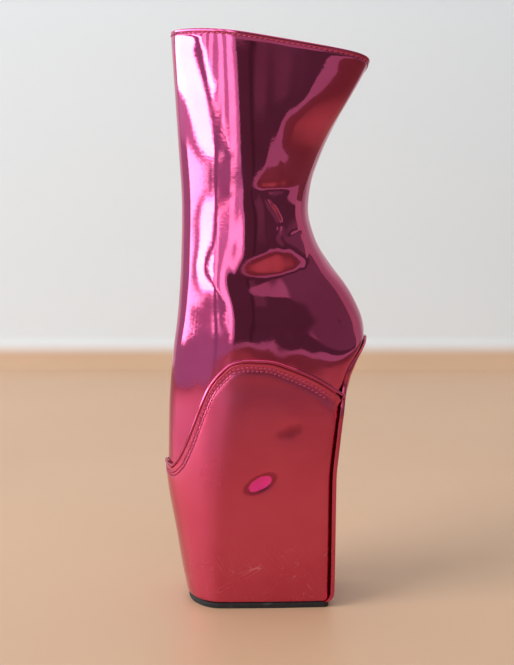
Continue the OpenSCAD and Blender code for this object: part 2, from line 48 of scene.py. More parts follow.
# %% [markdown]
# ## Smooth outlines
#
# A shoemaker's last is known by a few outlines: front, back, widths. Each is kept here as a short list
# of [height, place] points in millimetres, the ones that the model was drawn with. A curve through
# points can be a spline object, but plain arrays are easier to reuse in formulas. A mirror finish shows
# every jump in curvature, so each outline is also blurred a little along its length.

# %% Curves through points
def curve(points, at):
    """A cubic between each two points, which goes on straight past its ends.

    Its slope at a point is the harmonic mean of the slopes on both sides, and level where the line turns,
    so that flat stretches stay flat.
    """
    place, value = np.array(points, float).T
    step = np.diff(place)
    rise = np.diff(value) / step
    turns = rise[:-1] * rise[1:] <= 0
    mean = 2 * rise[:-1] * rise[1:] / np.where(turns, 1, rise[:-1] + rise[1:])
    slope = np.concatenate([rise[:1], np.where(turns, 0, mean), rise[-1:]])
    inside = np.clip(at, place[0], place[-1])
    i = np.clip(np.searchsorted(place, inside, side="right") - 1, 0, len(step) - 1)
    h = step[i]
    t = (inside - place[i]) / h
    past_end = (at - inside) * np.where(at < inside, slope[0], slope[-1])
    start = (1 + 2 * t) * (1 - t) ** 2 * value[i] + t * (1 - t) ** 2 * h * slope[i]
    return past_end + start + t**2 * (3 - 2 * t) * value[i + 1] + t**2 * (t - 1) * h * slope[i + 1]


def outline(points, blur, low=-30.0, high=480.0, step=0.5):
    """The curve through the points, averaged with a bell curve of width blur and kept as a fine table."""
    reach = int(4 * blur / step)
    place = np.arange(low - reach * step, high + (reach + 0.5) * step, step)
    bell = np.exp(-0.5 * (np.arange(-reach, reach + 1) * step / blur) ** 2)
    value = np.convolve(curve(points, place), bell / bell.sum(), mode="valid")
    place = place[reach : len(place) - reach]
    return lambda at: np.interp(at, place, value)


def smoothstep(low, high, at):
    """0 below low, 1 above high, and an S curve between."""
    t = np.clip((at - low) / (high - low), 0, 1)
    return t * t * (3 - 2 * t)


def eased(distance, radius):
    """How far a round edge falls away: 1 on the edge, 0 from radius inwards, a quarter circle between."""
    return 1 - np.sqrt(1 - (1 - np.clip(distance / radius, 0, 1)) ** 2)


print("halfway, a ramp is at", smoothstep(0.0, 4.0, 2.0), "and a round edge at", round(eased(2.0, 4.0), 3))

# %% The outlines of the boot
BLUR, NARROWEST = 6.0, 303
front_line = outline([[0, -46], [20, -53], [40, -60.5], [60, -67], [80, -72.5], [105, -76.4], [150, -75.6],
    [190, -72.5], [230, -67], [270, -65], [305, -64.2], [350, -66.5], [400, -69.6], [445, -72.5]], BLUR)
back_line = outline([[0, -26], [20, -20], [45, -12], [70, -4], [95, 7], [118, 20], [140, 36], [153, 49],
    [164, 57], [178, 61.4], [187, 65.4], [194, 69.6], [201, 73.6], [208, 75.8], [218, 74.5], [232, 69],
    [246, 61], [262, 48.5], [282, 37], [303, 32], [322, 34], [342, 40.5], [365, 51], [390, 65],
    [412, 77.5], [445, 97]], BLUR / 2)
middle_line = outline([[0, -34], [40, -33], [80, -27], [120, -18], [160, -8], [195, -2], [445, -2]], BLUR)
low_half = [[0, 22], [20, 25], [40, 28], [80, 32], [120, 34.5], [160, 36]]
inner_half = outline(low_half + [[195, 37], [445, 37]], BLUR)
shaft_half = [[195, 36.2], [240, 34.5], [300, 33.4], [350, 35.4], [400, 38.2], [445, 40.4]]
outer_half = outline(low_half + shaft_half, BLUR)
square_line = outline([[0, 2.6], [120, 2.8], [164, 7], [186, 6.5], [196, 5], [204, 3.6], [216, 2.5],
    [260, 2], [320, 2], [345, 2], [360, 2.4], [372, 3.2], [385, 4], [415, 4.4], [445, 4.6]], BLUR / 2)
wedge_front = outline([[0, -59.3], [25, -64.5], [45, -67.6], [65, -71], [85, -74.6], [105, -76.4],
    [445, -70]], BLUR)
wedge_half = outline([[0, 35.5], [40, 37], [95, 38], [150, 37.2], [200, 35], [445, 30]], BLUR)
strip_back = outline([[0, 52.2], [30, 52.6], [100, 53], [125, 55.2], [149, 57.9], [167, 60.3], [177, 62],
    [188, 66.6], [197, 72.5], [203, 76.8], [206, 77.6]], BLUR / 2, high=206.0)
wrap_edge = outline([[0, 107], [24, 105], [36, 111], [44, 123], [50, 138], [55, 155], [60, 170], [66, 180],
    [73, 187.5], [82, 189.5], [92, 189], [103, 184], [117, 175.5], [127, 167.5], [134, 162], [144, 158]],
    1.0, low=0.0, high=180.0)
print("ankle depth:", round(float(back_line(NARROWEST) - front_line(NARROWEST)), 1), "mm")

# %% [markdown]
# ## From arrays to pieces
#
# Every new piece is a grid of points: rows along a path, columns round a profile. Modelling tools could
# push such grids about by hand, but a formula keeps the piece true to its sizes. One helper numbers the
# four corners of each cell, and one turns points and faces into an object that rides on its body and
# stands for its node.

# %% Grids and pieces
SAME_POINT = 1e-6


def cells(rows, cols, ring_rows=False, ring_cols=False):
    """The four corner numbers of each cell of a grid, joined round where it is a ring."""
    r = np.arange(rows if ring_rows else rows - 1)
    c = np.arange(cols if ring_cols else cols - 1)
    a, b = np.meshgrid(r, c, indexing="ij")
    up, right = (a + 1) % rows, (b + 1) % cols
    return np.stack([a * cols + b, a * cols + right, up * cols + right, up * cols + b], -1).reshape(-1, 4)


def end_strip(cols, row_start):
    """Closes a flattened ring of points across, from both ends of the ring to its middle."""
    k = np.arange(cols // 2 - 1)
    return row_start + np.stack([k, k + 1, cols - 2 - k, cols - 1 - k], -1)


def loft(points):
    """Faces of a closed profile (second index) along an open path (first index), with closed ends."""
    rows, cols = points.shape[:2]
    ends = [end_strip(cols, 0), end_strip(cols, (rows - 1) * cols)]
    return np.concatenate([cells(rows, cols, ring_cols=True), *ends])


def closed(outer, inner):
    """A closed profile for each row: over the points of one face, then back over those of the other."""
    return np.concatenate([outer, inner[:, ::-1]], axis=1)


def piece(name, points, faces, node, body="boot", sharp=40.0, along=None):
    """A smooth mesh from points in millimetres, its faces turned outwards, that stands for a CAD node.

    A value along each point can be kept with the mesh, for its finish.
    """
    mesh = bpy.data.meshes.new(name)
    mesh.from_pydata((np.asarray(points).reshape(-1, 3) * MM).tolist(), [], np.asarray(faces).tolist())
    if along is not None:
        kept = mesh.attributes.new("along", "FLOAT", "POINT")
        kept.data.foreach_set("value", np.asarray(along, np.float32).ravel())
    shape = bmesh.new()
    shape.from_mesh(mesh)
    bmesh.ops.remove_doubles(shape, verts=shape.verts, dist=SAME_POINT)
    bmesh.ops.recalc_face_normals(shape, faces=shape.faces)
    shape.to_mesh(mesh)
    shape.free()
    mesh.shade_smooth()
    mesh.set_sharp_from_angle(angle=np.radians(sharp))
    made = bpy.data.objects.new(name, mesh)
    bpy.context.scene.collection.objects.link(made)
    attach(made, body)
    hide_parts(node)
    print(f"{name}: {len(mesh.polygons)} faces")
    return made


def lofted(name, points, node):
    """A closed profile carried along a path, as a piece."""
    return piece(name, points, loft(points), node)


print("a grid of 3 by 4 points has", len(cells(3, 4)), "cells, as a ring", len(cells(3, 4, ring_cols=True)))


# %% [markdown]
# ## The shape of the foot
#
# Seen from above, each level of the upper is half an ellipse in front and half a squarer oval behind.
# The turn goes round from the back (0 degrees) over the inner side (90), the front (180) and the outer
# side (270). A lathe or a sculpted mesh could stand for it, but a formula of height and turn also tells
# where a seam or stitch lies.

# %% A point of the upper
SIDE_BLEND, RIM_FRONT, RIM_FALL, RIM_BOW = 0.35, 435, 26, 6


def oval(turn, square):
    """A unit oval by its turn: the ray at that turn, cut where |x|^n + |y|^n = 1."""
    c, s = np.cos(turn), np.sin(turn)
    n = 2 + (square - 2) * smoothstep(0.0, 0.5, c)
    reach = (np.abs(c) ** n + np.abs(s) ** n) ** (-1 / n)
    return c * reach, s * reach


def foot_reach(z, c):
    """Length from the middle to the front or the back outline, blended across the sides."""
    middle = middle_line(z)
    to_back = smoothstep(-SIDE_BLEND, SIDE_BLEND, c)
    return (middle - front_line(z)) * (1 - to_back) + (back_line(z) - middle) * to_back


def foot(z, turn, out):
    """The oval at height z, stretched to its outline and to the half width of its side, plus out."""
    c, s = oval(turn, square_line(z))
    half = np.where(s > 0, inner_half(z), outer_half(z))
    return np.stack([middle_line(z) + c * (foot_reach(z, c) + out), s * (half + out), z + 0 * c], -1)


def rim_z(turn):
    """Height of the rim: highest at the front, falling to the back, with a bow at the sides."""
    return RIM_FRONT - RIM_FALL * (1 + np.cos(turn)) / 2 + RIM_BOW * np.sin(turn) ** 2


def wrap_top(turn):
    """Height of the edge of the wrap at a turn."""
    return wrap_edge(np.abs(180 - np.degrees(turn) % 360))


print("rim from", rim_z(0.0), "to", rim_z(np.pi), "mm")

# %% [markdown]
# ## Folds in the leather
#
# Worn foil leather is never a clean oval: it creases where the ankle bends and ripples down the shaft.
# Sculpting would do, but it can't be repeated. Here each fold is a path on the side of the boot, with a
# width and a depth: leather is pushed in or out by a bell curve of the distance to the path. Slow waves
# go on top of them.

# %% Fold and wave formulas
FOLD_FADE = 0.4


def fold(x, z, path, width, depth, lean=0.0):
    """A bell curve of the distance to a path, times depth, faded to its ends. Lean makes one side steep."""
    points = np.array(path, float)
    station = np.linspace(0, 1, len(points))
    t = np.linspace(0, 1, 40)
    px = curve(np.stack([station, points[:, 0]], -1), t)
    pz = curve(np.stack([station, points[:, 1]], -1), t)
    step_x, step_z = np.diff(px), np.diff(pz)
    dx, dz = x[..., None] - px[:-1], z[..., None] - pz[:-1]
    along = np.clip((dx * step_x + dz * step_z) / (step_x**2 + step_z**2), 0, 1)
    away = np.hypot(dx - along * step_x, dz - along * step_z)
    near = away.argmin(-1)[..., None]
    side = np.sign(np.take_along_axis(dx * step_z - dz * step_x, near, -1))[..., 0]
    where = (near + np.take_along_axis(along, near, -1))[..., 0] / len(step_x)
    away = np.take_along_axis(away, near, -1)[..., 0] / width
    fade = smoothstep(0.0, FOLD_FADE, where) * smoothstep(0.0, FOLD_FADE, 1 - where)
    return depth * fade * np.exp(-(away**2)) * (1 + lean * side * np.tanh(away))


def dent(x, z, centre, size, tilt, depth):
    """A round bell-shaped dent, longer one way and turned by tilt degrees."""
    a = np.radians(tilt)
    u = (x - centre[0]) * np.cos(a) + (z - centre[1]) * np.sin(a)
    v = (z - centre[1]) * np.cos(a) - (x - centre[0]) * np.sin(a)
    return depth * np.exp(-((u / size[0]) ** 2) - (v / size[1]) ** 2)


def waves(turn, z, seed, count, height, turn_rate, z_rate):
    """A sum of slow sines over turn and height, with seeded rates and phases."""
    rng = np.random.default_rng(seed)
    total = np.zeros(np.broadcast(turn, z).shape)
    for _ in range(count):
        a, b = rng.uniform(*turn_rate), rng.uniform(*z_rate) * rng.choice([-1, 1])
        total += np.sin(a * turn + b * z + rng.uniform(0, 2 * np.pi)) * rng.uniform(0.5, 1)
    return total * height / count**0.5


sample_fold = fold(np.array(5.0), np.array(0.0), [(0, 0), (10, 0)], 3.0, -2.0)
print("a fold 2 mm deep, halfway on its path:", sample_fold, "mm")

# %% The folds of this boot
SEAM_FADE, EDGE_FADE, RIM_FADE = 0.12, (2.0, 16.0), (3.0, 15.0)
ZIP_X, ZIP_LOW, ZIP_FADE = -2.0, 212.0, (9.0, 20.0)
HOLLOW = ((17, 255), (29, 11), 8, -3.2)
RIPPLES = [(7, 7, 0.28, (4, 11), (0.004, 0.02)), (11, 6, 0.05, (14, 30), (0.004, 0.02))]
outer_folds = [
    ([(-19, 400), (-19, 340), (-20, 306), (-26, 266), (-20, 236), (-1, 196)], 15.0, -0.6, 0.0),
    ([(-20, 345), (-20, 306), (-26, 266), (-24, 250), (-20, 236), (-9, 212), (1, 194)], 4.5, -0.15, 0.3),
    ([(-14, 322), (0, 318), (12, 318), (24, 322)], 13.0, -0.8, 0.0),
    ([(-9, 320), (0, 318), (14, 319), (26, 325)], 3.5, -0.5, 0.0),
    ([(-4, 322), (1, 310), (8, 299), (10.7, 292), (9.5, 284), (17, 272)], 1.7, -0.8, 0.6),
    ([(14, 281), (19.5, 284), (24, 286), (30, 290)], 1.8, -0.7, 0.6),
    ([(21, 288), (28, 277), (30, 264), (38, 243)], 2.2, 0.5, 0.5),
    ([(50, 230), (55, 218), (59.5, 210.5), (65, 198)], 2.4, -0.8, 0.4),
    ([(-4, 274), (8, 274), (18, 277), (26, 280)], 8.0, 0.45, 0.0),
    ([(-84, 182), (-66, 214), (-53, 234), (-42, 246), (-30, 256), (-16, 266)], 18.0, 0.9, 0.0),
]
inner_folds = [
    ([(-26, 326), (-22, 306), (-17, 286), (-14, 262)], 6.0, -0.5, 0.3),
    ([(12, 300), (19, 286), (30, 274)], 5.0, -0.45, -0.2),
    ([(-40, 264), (-28, 256), (-15, 251)], 6.5, 0.4, 0.1),
    ([(16, 252), (32, 232), (48, 212)], 9.0, 0.5, 0.1),
    ([(48, 222), (58, 211), (68, 201)], 4.0, -0.4, 0.2),
]


def relief(z, turn):
    """How far the leather stands in or out: folds and slow waves, faded out at seams, rim, zip and wrap."""
    x = foot(z, turn, 0.0)[..., 0]
    outer = np.sin(turn) < 0
    folds = np.zeros(x.shape)
    for paths, mask in ((outer_folds, outer), (inner_folds, ~outer)):
        for path, width, depth, lean in paths:
            folds += np.where(mask, fold(x, z, path, width, depth, lean), 0)
    hollow = dent(x, z, *HOLLOW)
    ripple = sum(waves(turn, z, *ripple_row) for ripple_row in RIPPLES)
    fade = smoothstep(0.0, SEAM_FADE, np.abs(np.sin(turn)))
    fade = fade * smoothstep(*EDGE_FADE, z - wrap_top(turn)) * smoothstep(*RIM_FADE, rim_z(turn) - z)
    by_zip = smoothstep(*ZIP_FADE, np.hypot(x - ZIP_X, np.minimum(z - ZIP_LOW, 0)))
    return (folds + hollow * outer + ripple) * fade * np.where(outer, 1, by_zip)


print("folds:", len(outer_folds), "on the outer side and", len(inner_folds), "on the inner side")


# %% [markdown]
# ## The panels of the upper
#
# Three panels of foil leather make the upper: one outer quarter, and two inner quarters beside the zip
# slot. They meet in seams at the front and the back, and their rim is turned over. A single shell with
# Solidify would lose the seams, so each panel is a closed profile (outside, round rim, inside) carried
# round from one edge to the other.

# %% A panel of leather
UPPER_T, TOE_Z, STITCH_DOWN = 1.4, 19.8, 3.0
SLOT_HALF, SLOT_LEAST, ZIP_STITCH, TOE_LIMIT, TOE_SLIT = 5.0, 0.15, 7.0, 0.97, 0.001
SEAM_GAP, MEAN_R, EDGE_DROP, EDGE_R, GROOVE, GROOVE_HALF = 0.1, 36, 0.6, 0.9, 0.32, 0.8
level_z = np.concatenate([
    np.linspace(TOE_Z, 92, 12),
    np.linspace(94, 204, 62),
    np.linspace(205, 214, 16),
    np.linspace(215.5, 423.5, 128),
    np.linspace(424, rim_z(np.pi / 2) - UPPER_T / 2, 8),
])
level_share = (level_z - TOE_Z) / (level_z[-1] - TOE_Z)
seam_turn = np.arcsin(SEAM_GAP / MEAN_R)


def zip_turn(z, dx, out=0.0):
    """Turn at which the inner side lies dx behind the middle of the zip, by repeated division.

    In the toe, which is all in front of the zip, it stays just short of the back seam.
    """
    c = np.zeros(np.broadcast(z, dx).shape)
    for _ in range(8):
        share = (ZIP_X + dx - middle_line(z)) / (foot_reach(z, c) + out)
        c = np.clip(share, -TOE_LIMIT, TOE_LIMIT + TOE_SLIT * np.sign(dx))
    return np.arccos(c)


def slot_half(z, half):
    """Half width of the zip slot: a round end below, then straight edges."""
    return np.maximum(np.sqrt(np.clip(half**2 - np.maximum(ZIP_LOW - z, 0) ** 2, 0, None)), SLOT_LEAST)


def shares(count, fine=6, reach=0.03):
    """Shares from 0 to 1, packed closer at both ends."""
    ends = reach * (np.arange(fine) / fine) ** 2
    return np.concatenate([ends, np.linspace(reach, 1 - reach, count), 1 - ends[::-1]])


def shell(surface, z, turn, outer, inner):
    """A closed profile for each column: up the outside, over the top in a half circle, down the inside."""
    top_z, top_turn = z[:, -1:], turn[:, -1:]
    centre, radius = (outer + inner)[:, -1:] / 2, (outer - inner)[:, -1:] / 2
    bend = np.linspace(0, np.pi, 8)[1:-1]
    over = surface(top_z + radius * np.sin(bend), top_turn, centre + radius * np.cos(bend))
    return np.concatenate([surface(z, turn, outer), over, surface(z, turn, inner)[:, ::-1]], axis=1)


def panel_points(first, last, count):
    """A shell of the foot between two turns, with folds, a groove for the rim stitches and eased edges."""
    turn = first + (last - first) * shares(count)[:, None]
    z = TOE_Z + (rim_z(turn) - UPPER_T / 2 - TOE_Z) * level_share
    edge = np.minimum(np.abs(turn - first), np.abs(turn - last)) * MEAN_R
    drop = EDGE_DROP * eased(edge, EDGE_R)
    shape = relief(z, turn)
    groove = -GROOVE * np.exp(-(((rim_z(turn) - z - STITCH_DOWN) / GROOVE_HALF) ** 2))
    return shell(foot, z, turn, shape + groove - drop, shape - UPPER_T)


print("levels of a panel:", len(level_z))

# %% The three panels
front_seam, back_seam = np.pi, 2 * np.pi
no_level = 0 * level_z
slot_front = zip_turn(level_z, -slot_half(level_z, SLOT_HALF))
slot_rear = zip_turn(level_z, slot_half(level_z, SLOT_HALF))
panels = {
    "outer_quarter": (no_level + front_seam + seam_turn, no_level + back_seam - seam_turn, 156),
    "inner_front_quarter": (slot_front, no_level + front_seam - seam_turn, 76),
    "inner_rear_quarter": (no_level + seam_turn, slot_rear, 82),
}
leather_pieces = []
for panel_name, (panel_first, panel_last, panel_count) in panels.items():
    panel_grid = panel_points(panel_first, panel_last, panel_count)
    leather_pieces.append(lofted("leather_" + panel_name, panel_grid, panel_name))

# %% [markdown]
# ## The wedge: wrap, rolled edge and sole
#
# The wedge is covered by one sheet of the same leather, with a curved upper edge that is finished with a
# roll. Its plan has a round nose, sides that narrow a little, tight corners and a flat back, where a
# separate strip of sole runs up to the heel. The plan is written as a formula of height and turn, like
# the foot, and the wrap, the roll and the stitches are all placed by it.

# %% A point of the wedge
WRAP_IN, WRAP_OUT, STRIP_T, STRIP_GAP, FOOT_GAP = 0.3, 1.5, 3.3, 1.0, 0.3
CORNER_R, CORNER_LEAST, CORNER_FROM, CORNER_TO = 3.0, 0.3, np.radians(50), np.radians(40)
TAPER, TAPER_END, SIDE_TURN, EDGE_STEP = 0.08, 150.0, 52, np.radians(1)


def larger(a, b, soft=0.5):
    """The larger of two lengths, with a soft change from one to the other."""
    return (a + b + np.hypot(a - b, soft)) / 2


def narrowing(z):
    """Share by which the wedge narrows to its back."""
    return TAPER * np.maximum(1 - z / TAPER_END, 0)


def wedge_reach(z):
    """Lengths of the wedge's plan from its middle: to the nose, to the flat back and to the side."""
    middle = middle_line(z)
    nose = larger(middle - wedge_front(z), middle - front_line(z) + FOOT_GAP)
    flat_back = strip_back(z) - STRIP_T - STRIP_GAP - WRAP_OUT
    tail = larger(flat_back - middle, back_line(z) - middle + FOOT_GAP)
    return nose, tail, wedge_half(z)


def wedge(z, turn, out):
    """In front half an ellipse. Behind a side that narrows with the way squared, a corner, a flat back."""
    c, s = np.cos(turn), np.sin(turn)
    nose, tail, half = wedge_reach(z)
    side = larger(half, np.where(s > 0, inner_half(z), outer_half(z)) + FOOT_GAP) + out
    around = np.arccos(np.clip(c, -1, 1))
    radius = np.maximum(CORNER_R + out, CORNER_LEAST)
    flat = side * (1 - narrowing(z)) - radius
    t = np.clip((np.pi / 2 - around) / (np.pi / 2 - CORNER_FROM), 0, 1)
    k = np.clip((around - CORNER_TO) / (CORNER_FROM - CORNER_TO), 0, 1) * np.pi / 2
    straight = (tail + out - radius) * t
    back_x = np.where(around >= CORNER_FROM, straight, tail + out - radius * (1 - np.cos(k)))
    along = np.where(around >= CORNER_FROM, side * (1 - narrowing(z) * t**2), flat + radius * np.sin(k))
    back_y = np.where(around >= CORNER_TO, along, flat * around / CORNER_TO)
    x = np.where(c > 0, back_x, (nose + out) * c)
    y = np.where(c > 0, back_y, side * np.abs(s))
    return np.stack([middle_line(z) + x, np.where(s < 0, -y, y), z + 0 * x], -1)


def edge_step(turn, out):
    """How far the edge of the wrap runs along and climbs in a small step of the turn."""
    there = turn + EDGE_STEP
    step = wedge(wrap_top(there), there, out) - wedge(wrap_top(turn), turn, out)
    return np.hypot(step[..., 0], step[..., 1]), step[..., 2]


def by_wrap_edge(turn, down, out):
    """The height and turn that lie a distance down from the edge of the wrap, square to the edge."""
    run, climb = edge_step(turn, out)
    length = np.hypot(run, climb)
    return wrap_top(turn) - down * run / length, turn + EDGE_STEP * down * climb / length / run


def edge_distance(z, turn):
    """Distance down to a point of the wrap from its edge, square to the edge."""
    run, climb = edge_step(turn, 0.0)
    return (wrap_top(turn) - z) * run / np.hypot(run, climb)


floor_nose, floor_tail, floor_half = wedge_reach(0.0)
print("wedge on the floor: %.1f mm long, %.1f mm wide" % (floor_nose + floor_tail, 2 * floor_half))

# %% The leather wrap
PLATFORM_Z, FOOT_R, FOOT_DROP = 4.5, 3.0, 1.1
WEAR_MARK, WEAR_SMUDGE = ((-3, 98), (10, 5.5), 28, -1.1), ((18, 138), (9, 6), 25, -0.35)
WRAP_WAVES = (21, 6, 0.16, (2, 6), (0.01, 0.045))
PULL_IN, PULL_AT, PULL_WIDE = 0.35, 4.7, 2.8
TOP_FADE, FOOT_FADE, CORNER_FADE = (7, 26), (0, 12), np.radians([50, 62])
LOW_SHARE, HIGH_SHARE = 0.03, 0.88


def wrap_relief(z, turn):
    """Shallow dents of wear and slow waves on the wrap, none at its edges and corners."""
    x = wedge(z, turn, 0.0)[..., 0]
    outer = np.sin(turn) < 0
    worn = dent(x, z, *WEAR_MARK) + dent(x, z, *WEAR_SMUDGE)
    slow = waves(turn, z, *WRAP_WAVES)
    fade = smoothstep(*TOP_FADE, wrap_top(turn) - z) * smoothstep(*FOOT_FADE, z - PLATFORM_Z)
    corner = smoothstep(*CORNER_FADE, np.pi - np.abs(np.pi - turn))
    pull = -PULL_IN * np.exp(-(((edge_distance(z, turn) - PULL_AT) / PULL_WIDE) ** 2))
    return (worn * outer + slow) * fade * corner + pull


def wrap_points(columns, rows):
    """A shell of the wedge from corner to corner round the front, pulled in where its edge is stitched."""
    corner = np.linspace(CORNER_TO, np.radians(SIDE_TURN), 9)[:-1]
    sides = np.linspace(np.radians(SIDE_TURN), np.radians(360 - SIDE_TURN), columns)
    low, high = np.linspace(0, LOW_SHARE, 8), np.linspace(HIGH_SHARE, 1, 42)
    share = np.concatenate([low[:-1], np.linspace(LOW_SHARE, HIGH_SHARE, rows), high[1:]])
    turn = np.concatenate([corner, sides, 2 * np.pi - corner[::-1]])[:, None] + 0 * share
    top = wrap_top(turn) - (WRAP_OUT - WRAP_IN) / 2
    z = PLATFORM_Z + (top - PLATFORM_Z) * share
    foot_round = FOOT_DROP * eased(z - PLATFORM_Z, FOOT_R)
    shape = wrap_relief(z, turn)
    return shell(wedge, z, turn, WRAP_OUT + shape - foot_round, WRAP_IN + shape)


leather_pieces.append(lofted("leather_wrap", wrap_points(240, 80), "wedge_wrap"))

# %% [markdown]
# ## Rolls and stitches
#
# The roll along the wrap is a thin cord under leather: a circle carried along a path. A stitch is a
# short piece of thread that comes out of one needle hole and goes down the next. A curve object with a
# bevel could draw the roll, and a particle system the stitches. Whole arrays do both at once: all
# stitches are one array of rings.

# %% Tubes along paths
STEP_UP, STEP_TURN = 0.2, 0.004
STITCH_T = np.array([-1, -0.82, -0.5, 0, 0.5, 0.82, 1])
STITCH_THICK = np.array([0.5, 0.85, 1, 1, 1, 0.85, 0.5])
STITCH_SHARE, STITCH_SINK, STITCH_FLAT, STITCH_SIDES = 0.46, 2.2, 0.75, 8


def unit(v):
    """Vectors at length one."""
    return v / np.linalg.norm(v, axis=-1, keepdims=True)


def rings(path, normal, radius, sides, flatten=1.0):
    """A circle round each point of a path, in the plane of its normal and of the side square to both."""
    along = unit(np.gradient(path, axis=-2))
    side = unit(np.cross(along, normal))
    up = np.cross(side, along)
    a = 2 * np.pi * np.arange(sides) / sides
    circle = np.cos(a)[:, None] * side[..., None, :] + flatten * np.sin(a)[:, None] * up[..., None, :]
    return path[..., None, :] + np.asarray(radius)[..., None, None] * circle


def normals(surface, z, turn, out):
    """Outward normals of a surface, from its small steps in height and turn."""
    upward = surface(z + STEP_UP, turn, out) - surface(z - STEP_UP, turn, out)
    onward = surface(z, turn + STEP_TURN, out) - surface(z, turn - STEP_TURN, out)
    return unit(np.cross(onward, upward))


def stitch_points(path, normal, pitch, radius, lift, slant):
    """Along a path, one short tube per pitch, askew by slant millimetres to each side of the row.

    Its ends sink into needle holes and its middle stands out by lift.
    """
    way = np.concatenate([[0], np.cumsum(np.linalg.norm(np.diff(path, axis=0), axis=1))])
    count = int(way[-1] // pitch)
    centre = (np.arange(count) + 0.5) * way[-1] / count
    at = centre[:, None] + STITCH_T * STITCH_SHARE * pitch
    middle = np.stack([np.interp(at, way, path[:, k]) for k in range(3)], -1)
    up = unit(np.stack([np.interp(at, way, normal[:, k]) for k in range(3)], -1))
    aside = unit(np.cross(up, np.gradient(middle, axis=-2)))
    height = lift * (1 - STITCH_SINK * STITCH_T**4)
    middle = middle + up * height[:, None] + aside * (slant * STITCH_T)[:, None]
    return rings(middle, up, np.broadcast_to(radius * STITCH_THICK, at.shape), STITCH_SIDES, STITCH_FLAT)


def tube_faces(grid):
    """The cells of every tube in an array of tubes, and the faces on both of its ends."""
    count, steps, sides = grid.shape[:3]
    return (loft(grid[0]) + (np.arange(count) * steps * sides)[:, None, None]).reshape(-1, 4)


def stitch_row(name, surface, z, turn, out, node, pitch, radius=0.55, lift=0.22, slant=0.35):
    """A row of stitches on a surface along given heights and turns."""
    path = surface(z, turn, out)
    grid = stitch_points(path, normals(surface, z, turn, out), pitch, radius, lift, slant)
    along = np.broadcast_to(STITCH_T[:, None], grid.shape[:3])
    return piece(name, grid, tube_faces(grid), node, sharp=80, along=along)


print("a stitch has", STITCH_T.size, "rings of", STITCH_SIDES, "points")

# %% The rolled edge of the wrap
ROLL_R, ROLL_RISE, ROLL_FROM, ROLL_COUNT = 1.1, 0.45, np.radians(46), 420
roll_out = WRAP_IN + ROLL_R
roll_turn = np.linspace(ROLL_FROM, 2 * np.pi - ROLL_FROM, ROLL_COUNT)
roll_z, roll_at = by_wrap_edge(roll_turn, -ROLL_R - ROLL_RISE, roll_out)
roll_end = np.clip(np.abs(np.linspace(-1, 1, ROLL_COUNT)) * 50 - 49, 0, 1)
roll_path, roll_normal = wedge(roll_z, roll_at, roll_out), normals(wedge, roll_z, roll_at, roll_out)
roll_grid = rings(roll_path, roll_normal, ROLL_R * (1 - 0.5 * roll_end), 12)
leather_pieces.append(lofted("leather_rolled_edge", roll_grid, "wrap_rolled_edge"))

# %% The stitch rows
RIM_LEVEL, RIM_GAP, RIM_PITCH, ROW_PITCH, ROW_STEPS, ZIP_ROW_TOP = 424.0, 12.0, 3.9, 3.4, 900, 418.0
RIM_SINK, WRAP_SINK, ZIP_SINK = 0.3, 0.35, 0.1
rim_turn = np.linspace(zip_turn(RIM_LEVEL, -RIM_GAP), 2 * np.pi + zip_turn(RIM_LEVEL, RIM_GAP), ROW_STEPS)
rim_row_z = rim_z(rim_turn) - STITCH_DOWN
thread_pieces = [stitch_row("stitches_rim", foot, rim_row_z, rim_turn, -RIM_SINK, "rim_thread", RIM_PITCH)]
stitch_turn = np.linspace(np.radians(SIDE_TURN + 1), np.radians(359 - SIDE_TURN), ROW_STEPS)
for row_node, row_down in (("wrap_thread_upper", 3.4), ("wrap_thread_lower", 6.0)):
    row_z, row_turn = by_wrap_edge(stitch_turn, row_down, WRAP_OUT)
    row_name, row_out = "stitches_" + row_node, WRAP_OUT - WRAP_SINK
    row = stitch_row(row_name, wedge, row_z, row_turn, row_out, row_node, ROW_PITCH, radius=0.62, lift=0.3)
    thread_pieces.append(row)
zip_row_z = np.linspace(ZIP_LOW, ZIP_ROW_TOP, 400)
for row_node, row_side in (("zip_thread_front", -1), ("zip_thread_rear", 1)):
    row_name, row_turn = "stitches_" + row_node, zip_turn(zip_row_z, row_side * ZIP_STITCH)
    thread_pieces.append(stitch_row(row_name, foot, zip_row_z, row_turn, -ZIP_SINK, row_node, ROW_PITCH))

# %% [markdown]
# ## The sole strip and the outsole
#
# A strip of sole covers the back of the wedge and ends as a round tongue under the heel. Below the wedge
# lies a thin rubber sole. Both could be extruded outlines with a Bevel modifier. As formulas, the strip
# is a rounded section carried up the back, and the sole a stack of outlines, each drawn in a little more
# than the last.

# %% The strip up the back
STRIP_TOP, TONGUE_FROM, TONGUE_LEAST, STRIP_BEND = 206.0, 178.0, 0.2, 8.0
HEEL_FROM, HEEL_FULL, SEAT_FROM, SEAT_FULL = 150.0, 176.0, 5.0, 6.5
NARROW_FROM, NARROW_FULL, NARROW_BY = 149.0, 174.0, 0.22
EASE_BY, EASE_R, EASE_FRONT, THIN_BY, THIN_FROM, THIN_FULL = 0.9, 1.4, 0.3, 1.7, 180, 203
SEAT_GAP, BEND_SHARE, HEEL_LIMIT = 0.4, 0.6, 0.8
strip_z = np.concatenate([
    PLATFORM_Z + STRIP_BEND * np.linspace(0, 1, 14) ** 2,
    np.linspace(PLATFORM_Z + STRIP_BEND + 1, TONGUE_FROM, 80),
    TONGUE_FROM + (STRIP_TOP - TONGUE_FROM) * np.sin(np.linspace(0, np.pi / 2, 40)[1:]),
])


def heel_back(z, y):
    """How far back the heel of the upper reaches at a height and a place across: the oval solved for x."""
    share = np.clip(np.abs(y) / (outer_half(z) + FOOT_GAP), 0, HEEL_LIMIT)
    square = square_line(z)
    return middle_line(z) + (back_line(z) - middle_line(z)) * (1 - share**square) ** (1 / square)


